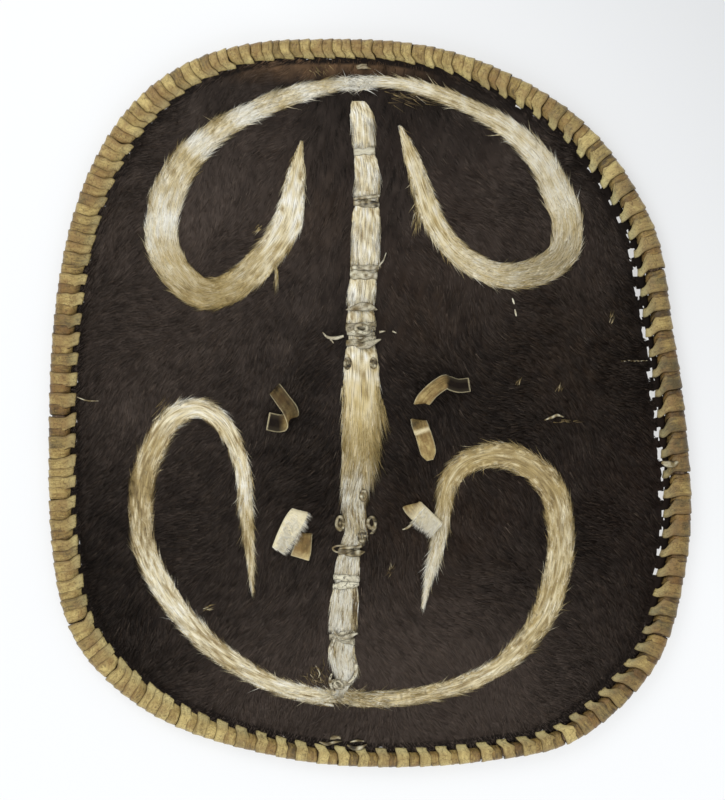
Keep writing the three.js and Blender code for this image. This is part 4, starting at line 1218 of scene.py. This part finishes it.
def finishThong(name, parts, tone, pale, crack, replaces=()):
    points, quads, triangles = join(parts)
    wear = patchNoise(points[:, 0], points[:, 1] + points[:, 2], 9, len(points) % 97)
    values = {
        "tone": np.clip(tone + 0.3 * wear, 0, 1), "pale": np.clip(pale + 0.4 * wear, 0, 1),
        # edge: painted shade along both sides of each thong
        "edge": np.tile([0.85, 0.25, 0, 0.25], len(points) // 4), "crack": np.full(len(points), crack),
        "across": points[:, 1] * 0.5, "along": points[:, 0] * 0.12,
    }
    makePiece(name, points, quads, triangles, values, [thongMaterial], replaces=replaces)


# a small loop of thong that stands up through the hide
def eyelet(across, down, halfAcross, halfDown, onStrip):
    up = 1.8 if onStrip else 2.4
    turns = np.linspace(0, 2 * np.pi, 9) + 0.9
    spots = [(across + (halfAcross - 1) * math.cos(v), down + (halfDown - 1) * math.sin(v)) for v in turns]
    return cordBody([over(*spot, up, onStrip) for spot in spots], [1.7, 2.2, 1.6, 2.1, 1.8], count=26)


knotTurns = [  # two bights of a knot in shares of its size, and their thickness
    ([(-1, -0.2, -0.3), (-0.7, 0.35, 0.1), (0, 0.5, 0.42), (0.6, 0.2, 0.35), (0.4, -0.35, 0.1),
        (-0.2, -0.45, 0), (-0.5, -0.1, -0.2)], 0.2),
    ([(1, 0.15, -0.3), (0.65, -0.35, 0.12), (0.1, -0.3, 0.45), (-0.45, 0.05, 0.5), (-0.35, 0.5, 0.15),
        (0.3, 0.55, -0.1)], 0.19),
]


def knot(across, down, size, turn):
    x, y, z = over(across, down, 1.6, True)
    c, s = math.cos(turn), math.sin(turn)

    def placed(a, b, h):
        return x + size * (a * c - b * s), y + size * (a * s + b * c), z + size * h

    return [cordBody([placed(*spot) for spot in spots], size * thick) for spots, thick in knotTurns]


# bands round the staff: down, width, lean; knot: across, down, size, turn
# cords: places (across, down, height, and whether over the strip), radii, flatness
ties = {
    "staff_tie_1": {"bands": [(153, 7.4, 0.6)], "tone": 0.8, "pale": 0.9, "crack": 0.2},
    "staff_tie_2": {"bands": [(199, 3.4, 1.6), (205.5, 6.4, -0.8)], "tone": 0.3, "pale": 0.25, "crack": 0.6},
    "staff_tie_3": {
        "bands": [(269.5, 5.6, 0.6), (276.5, 8.4, -0.8)], "tone": 0.6, "pale": 0.5, "crack": 0.7,
        "cords": [([(378, 268, 0.5), (383, 262, 1.2), (386, 254, 1.4)], [1.0, 0.8, 0.3])],
    },
    "staff_tie_4": {
        "bands": [(327, 7.0, 1.8), (334.5, 7.4, -2.4), (342, 6.6, 2.0)], "tone": 0.55, "pale": 0.45,
        "crack": 0.8, "knot": (361, 331, 10, 0.15),
        "cords": [
            ([(353, 345, 3.8, True), (360, 346.5, 4.6, True), (368, 345.5, 4.6, True),
                (376, 342, 3.4, True), (381, 340, 2.4)], [0.4, 3.4, 4.2, 2.6, 0.4], 0.35),
            ([(346, 311, 3.2, True), (354, 309.5, 4.0, True), (362, 308, 4.4, True),
                (370, 308.5, 3.8, True), (377, 311, 2.6)], [0.4, 2.8, 4.8, 4.2, 0.5], 0.35),
            ([(344, 337, 2.6), (336, 339, 2.4), (328, 338, 2.2), (323, 333, 1.6)], [1.4, 2.0, 1.5, 0.4]),
            ([(331, 340, 2.0), (334, 344, 1.6)], [1.2, 0.5]),
            ([(379, 333, 2.6), (385, 332, 2.0)], [1.4, 0.5]),
            ([(392, 332, 1.4), (396, 334, 1.2)], [1.0, 0.5]),
        ],
    },
    "staff_tie_5": {
        "bands": [(545.5, 2.8, 1.0), (550.5, 6.8, -0.8)], "tone": 0.30, "pale": 0.10, "crack": 0.4,
        "cords": [
            ([(345, 553, 3.4, True), (352, 552, 4.4, True), (359, 551, 4.2, True), (365, 550, 2.6)],
                [0.4, 3.2, 3.6, 0.4], 0.4),
            ([(346, 544, 2.6), (338, 544, 2.4), (333, 546.5, 2.2), (337, 550, 2.2), (345, 550, 2.2)],
                [1.2, 1.0, 1.1, 1.0, 0.9]),
        ],
    },
    "staff_tie_6": {"bands": [(576, 6.4, -1.0), (583, 7.2, 1.4)], "tone": 0.85, "pale": 0.9, "crack": 1.0},
    "staff_tie_7": {
        "bands": [(632, 4.4, 2.0), (637.5, 6.4, -2.2)], "tone": 0.6, "pale": 0.6, "crack": 1.0,
        "cords": [
            ([(334, 630, 3.4, True), (341, 636, 4.6, True), (349, 634, 4.8, True), (358, 631, 3.2, True)],
                [0.8, 2.2, 2.6, 0.8], 0.45),
            ([(336, 633, 2, True), (333, 642, 2.2, True), (331, 650, 1.6)], [1.6, 1.6, 0.4]),
            ([(352, 655, 2.6, True), (356, 664, 3.2, True), (355, 674, 3, True), (348, 682, 3, True)],
                [0.8, 2.4, 2.2, 0.8], 0.5),
        ],
    },
    "staff_tie_8": {
        "bands": [(682, 5.4, 1.2)], "tone": 0.5, "pale": 0.5, "crack": 1.0, "knot": (338, 683, 7.5, -0.3),
        "cords": [
            ([(332, 672, 1.6), (330, 680, 2.4), (333, 688, 2.4), (333, 696, 1.2)], [1.0, 2.0, 1.6, 1.8]),
        ],
    },
    "staff_end_tie_top": {
        "bands": [(66.5, 4.6, 0.4)], "tone": 0.4, "pale": 0.2, "crack": 0.3,
        "cords": [([(357, 69, 1.2), (364, 67.5, 2.0), (371, 69, 1.0)], [0.4, 2.2, 0.4], 0.5)],
    },
    "staff_end_tie_bottom": {
        "bands": [(737, 5.0, 0.4)], "tone": 0.25, "pale": 0, "crack": 0.5,
        "cords": [
            ([(319, 742, 1), (327, 744, 1.8), (335, 742, 2), (342, 741, 1.2)], [0.5, 1.8, 1.6, 0.5]),
            ([(347, 745, 1.4), (353, 748, 2.4), (360, 748, 2.4), (367, 744, 1.4)], [0.6, 2.6, 2.4, 0.5]),
            ([(350, 742, 1.4), (357, 740.5, 2.2), (364, 741, 1.4)], [0.5, 1.4, 0.5]),
        ],
    },
}
for tieName, tie in ties.items():
    tieParts = [tieLoop(*band) for band in tie["bands"]]
    tieParts += knot(*tie["knot"]) if "knot" in tie else []
    tieParts += [cord(*spots) for spots in tie.get("cords", [])]
    finishThong("thong_" + tieName, tieParts, tie["tone"], tie["pale"], tie["crack"], [tieName])

# small pieces of thong: paths, radii, tone, paleness
smallThongs = {
    "stitch": ([[(511, 299, 1.6), (513, 305, 1.4)], [(513.5, 310, 1.6), (515, 317, 1.4)]],
        [0.5, 1.1, 0.5], 0.9, 1.0),
    "fibre": ([[(77, 397, 4), (87, 400.5, 3), (99, 401, 2)],
        [(316, 664, 1.2), (320, 672, 1.6), (318, 677, 1.0)]], [0.4, 0.8, 0.3], 0.5, 0.3),
    "end": ([[(543, 420, 1), (551, 417, 2.2), (556, 415, 2.4), (562, 417, 1)],
        [(402, 528, 1.4), (407, 526, 2), (412, 522, 2), (416, 519, 1.4)]], [0.5, 1.5, 1.4, 0.5], 0.5, 0.35),
    "tag": ([[(661, 462, 9), (667, 464, 11), (673, 464, 11), (678, 462, 10)]],
        [1.6, 3.6, 3.6, 1.4], 0.5, 0.1),
}
for smallName, (paths, radii, tone, pale) in smallThongs.items():
    finishThong("thong_" + smallName, [cord(path, radii) for path in paths], tone, pale, 0.2)

# small loops: across, down, half width, half height, over the strip
loopPlaces = [
    (348, 364, 3.4, 5.6, False), (373, 364, 3.2, 5.4, False), (340.5, 521.5, 4.4, 7.6, False),
    (371.5, 521, 4.6, 6.4, False), (362, 534.5, 3.6, 6.2, True), (363.5, 494, 3.4, 5.8, True),
]
loopParts = [eyelet(*loop) for loop in loopPlaces] + [
    cord([(341.5, 517, 2.6), (340.5, 522, 3.2), (340, 527, 2.4)], [0.8, 1.7, 0.8]),
    cord([(375, 524, 1.8), (373, 530, 1.6), (370, 532, 1.0)], [1.8, 2.3, 0.6]),
]
finishThong("thong_loops", loopParts, 0.22, 0.05, 0.7)
print("staff and thongs made")

# places along a strap: across, down, height over the hair, half width, turn of its width, then tone, share
# of dark hair, share of white hair
straps = {
    "upper_grip_strap": {"thickness": 2.0, "hairHeading": None, "places": [
        (269, 421, 4.2, 9, 125, 0.3, 1, 0), (280, 423, 3.4, 9, 105, 0.3, 1, 0),
        (288, 421, 6.5, 8, 62, 0.5, 0.2, 0), (292, 412, 9.5, 8, 42, 0.3, 0.6, 0),
        (284, 400, 7, 7.6, 42, 0.25, 0.65, 0), (277, 390.5, 3, 7.4, 50, 0.25, 0.5, 0),
        (277, 390.5, -9, 7.4, 50, 0.3, 0, 0), (287, 392, -24, 7.4, 72, 0.4, 0, 0),
        (318, 398, -38, 7.4, 88, 0.4, 0, 0), (345, 400, -45, 7.4, 90, 0.4, 0, 0),
        (378, 401, -46, 7.4, 90, 0.4, 0, 0), (404, 402, -31, 7.6, 60, 0.4, 0, 0),
        (421, 402, -10, 8, 6, 0.5, 0, 0), (421, 402, 3, 8, 6, 0.7, 0, 0),
        (431, 391, 9, 7.4, -34, 0.5, 0.1, 0), (443, 382.5, 12, 7.4, -62, 0.4, 0.1, 0),
        (448, 383.5, 10.5, 7.2, -68, 0.3, 1, 0), (457, 386, 8.5, 7, -70, 0.3, 1, 0),
        (468, 385, 5.5, 7, -74, 0.3, 1, 0)]},
    "lower_grip_strap": {"thickness": 2.2, "hairHeading": (-42, -122), "places": [
        (279, 547.5, 3.6, 6.5, -19, 0.5, 0, 1), (287, 534, 7, 9, -17, 0.5, 0, 1),
        (295, 520, 8, 10, -16, 0.5, 0, 1), (300.5, 510.5, 3, 8.6, -14, 0.5, 0, 1),
        (300.5, 510.5, -10, 8.6, -14, 0.5, 0, 0), (312, 510.5, -27, 8, -55, 0.4, 0, 0),
        (333, 510, -41, 8, -85, 0.4, 0, 0), (352, 509.5, -47, 8, -90, 0.4, 0, 0),
        (372, 508.5, -44, 8, -90, 0.4, 0, 0), (396, 506, -28, 8.4, -42, 0.4, 0, 0),
        (411, 504, -11, 9.4, 12, 0.5, 0, 0), (411, 504, 3, 9.4, 12, 0.5, 0, 0),
        (415, 508.5, 6, 9.6, 20, 0.5, 0, 0.4), (421, 514, 7.5, 9.4, 28, 0.5, 0, 1),
        (436, 527, 5.5, 8, 43, 0.5, 0, 1)]},
    "grip_thong": {"thickness": 2.0, "hairHeading": None, "places": [
        (429, 459, 3.2, 3.6, 0, 0.7, 0, 0), (427.5, 453, 5, 7.4, -4, 0.7, 0, 0),
        (426, 446, 5.5, 8.2, -6, 0.6, 0, 0), (422.5, 434, 6.5, 8.2, -8, 0.4, 0, 0),
        # the place 430.5 down is a painted highlight along a crease: full tone and cream
        (421, 430.5, 7, 8.2, -12, 1, 0, 0.7), (420, 427.5, 6, 8.2, -10, 0.35, 0.1, 0),
        (417.5, 421, 3, 8, -10, 0.3, 0.2, 0), (417.5, 421, -9, 8, -10, 0.4, 0, 0),
        (409, 425, -19, 8, -10, 0.4, 0, 0)]},
    "grip_tail": {"thickness": 1.8, "hairHeading": None, "places": [
        (300.5, 556, 2.6, 9.6, -4, 0.85, 0, 0.2), (303, 548, 3.6, 9, -4, 0.45, 0, 0),
        (306, 533, 2.4, 7, -4, 0.3, 0.2, 0), (306, 533, -9, 7, -4, 0.4, 0, 0),
        (314, 529, -16, 7, -4, 0.4, 0, 0)]},
}
strapHair = {"count": 1500, "length": (4, 7.5), "width": (0.4, 0.8), "yellow": 0.25}


def strapHairs(name, look, path, wide, half, cream):  # the white hair that some straps still carry
    picked = chance.choice(np.flatnonzero(cream > 0.7), strapHair["count"])
    n = len(picked)
    d = tangents(path)
    level = unit(wide - d * (wide * d).sum(1, keepdims=True))
    up = unit(np.cross(level, d))
    up *= np.sign(up[:, 2:])
    w = chance.uniform(-1, 1, n)
    spot = path[picked] + level[picked] * (w * half[picked])[:, None] + up[picked] * look["thickness"] * 0.5
    left = spot[:, 0] < 0
    heading = np.radians(np.where(left, *look["hairHeading"])) + chance.normal(0, 0.14, n)
    length = chance.uniform(*strapHair["length"], n)
    lift = spot[:, 2] + chance.uniform(-0.2, 0.5, n)
    tone = 0.86 + 0.16 * patchNoise(spot[:, 0] * 2, spot[:, 1], 9, 61) + chance.normal(0, 0.1, n)
    width = chance.uniform(*strapHair["width"], n)
    values = {"tone": np.clip(tone, 0, 1), "yellow": np.full(n, strapHair["yellow"])}
    makeHairs(name, *spot.T, heading, length, width, lift, values, paleHairMaterial, "strap_hide")


strapCorners = [-1, -0.85, -0.3, 0.3, 0.85, 1, 0.85, 0.3, -0.3, -0.85]
strapHigh = [0, 0.5, 0.5, 0.5, 0.5, 0, -0.5, -0.5, -0.5, -0.5]


def makeStrap(name, look):
    rows = [(*over(a, d, u), *rest) for a, d, u, *rest in look["places"]]
    fine = smoothPath(rows, 26 * len(rows) // 3)
    path, half, turn = fine[:, :3], fine[:, 3], np.radians(fine[:, 4])
    tone, haired, cream = np.clip(fine[:, 5:], 0, 1).T
    wide = np.stack([np.cos(turn), np.sin(turn), 0 * turn], -1)
    d = tangents(path)
    level = unit(wide - d * (wide * d).sum(1, keepdims=True))
    corner, high = np.array(strapCorners), np.array(strapHigh)
    curl = 0.05 * corner ** 2 * half[:, None]
    body = ringsOn(path, level, unit(np.cross(level, d)), corner * half[:, None],
        high * look["thickness"] + curl)
    points, quads, triangles = sweep(body)
    count = len(path)
    ring, acrossIt = np.repeat(np.arange(count), len(corner)), np.tile(corner, count)
    edge = np.tile([0.95, 0.04, 0, 0, 0.04], 2 * count)
    edge[(ring == 0) | (ring == count - 1)] = 1
    values = {"tone": np.clip(tone[ring] + 0.22 * patchNoise(points[:, 0], points[:, 1], 12, 57), 0, 1),
        "pale": edge, "haired": haired[ring] * (1 - edge), "cream": cream[ring],
        "across": acrossIt * half[ring] * 0.5, "along": ring * 0.06, "crack": np.full(len(points), 0.25)}
    makePiece("strap_" + name, points, quads, triangles, values, [fleshMaterial],
        replaces=[name])
    if look["hairHeading"]:
        strapHairs("hair_" + name, look, path, wide, half, cream)


for strapName, strapLook in straps.items():
    makeStrap(strapName, strapLook)
print("straps made")
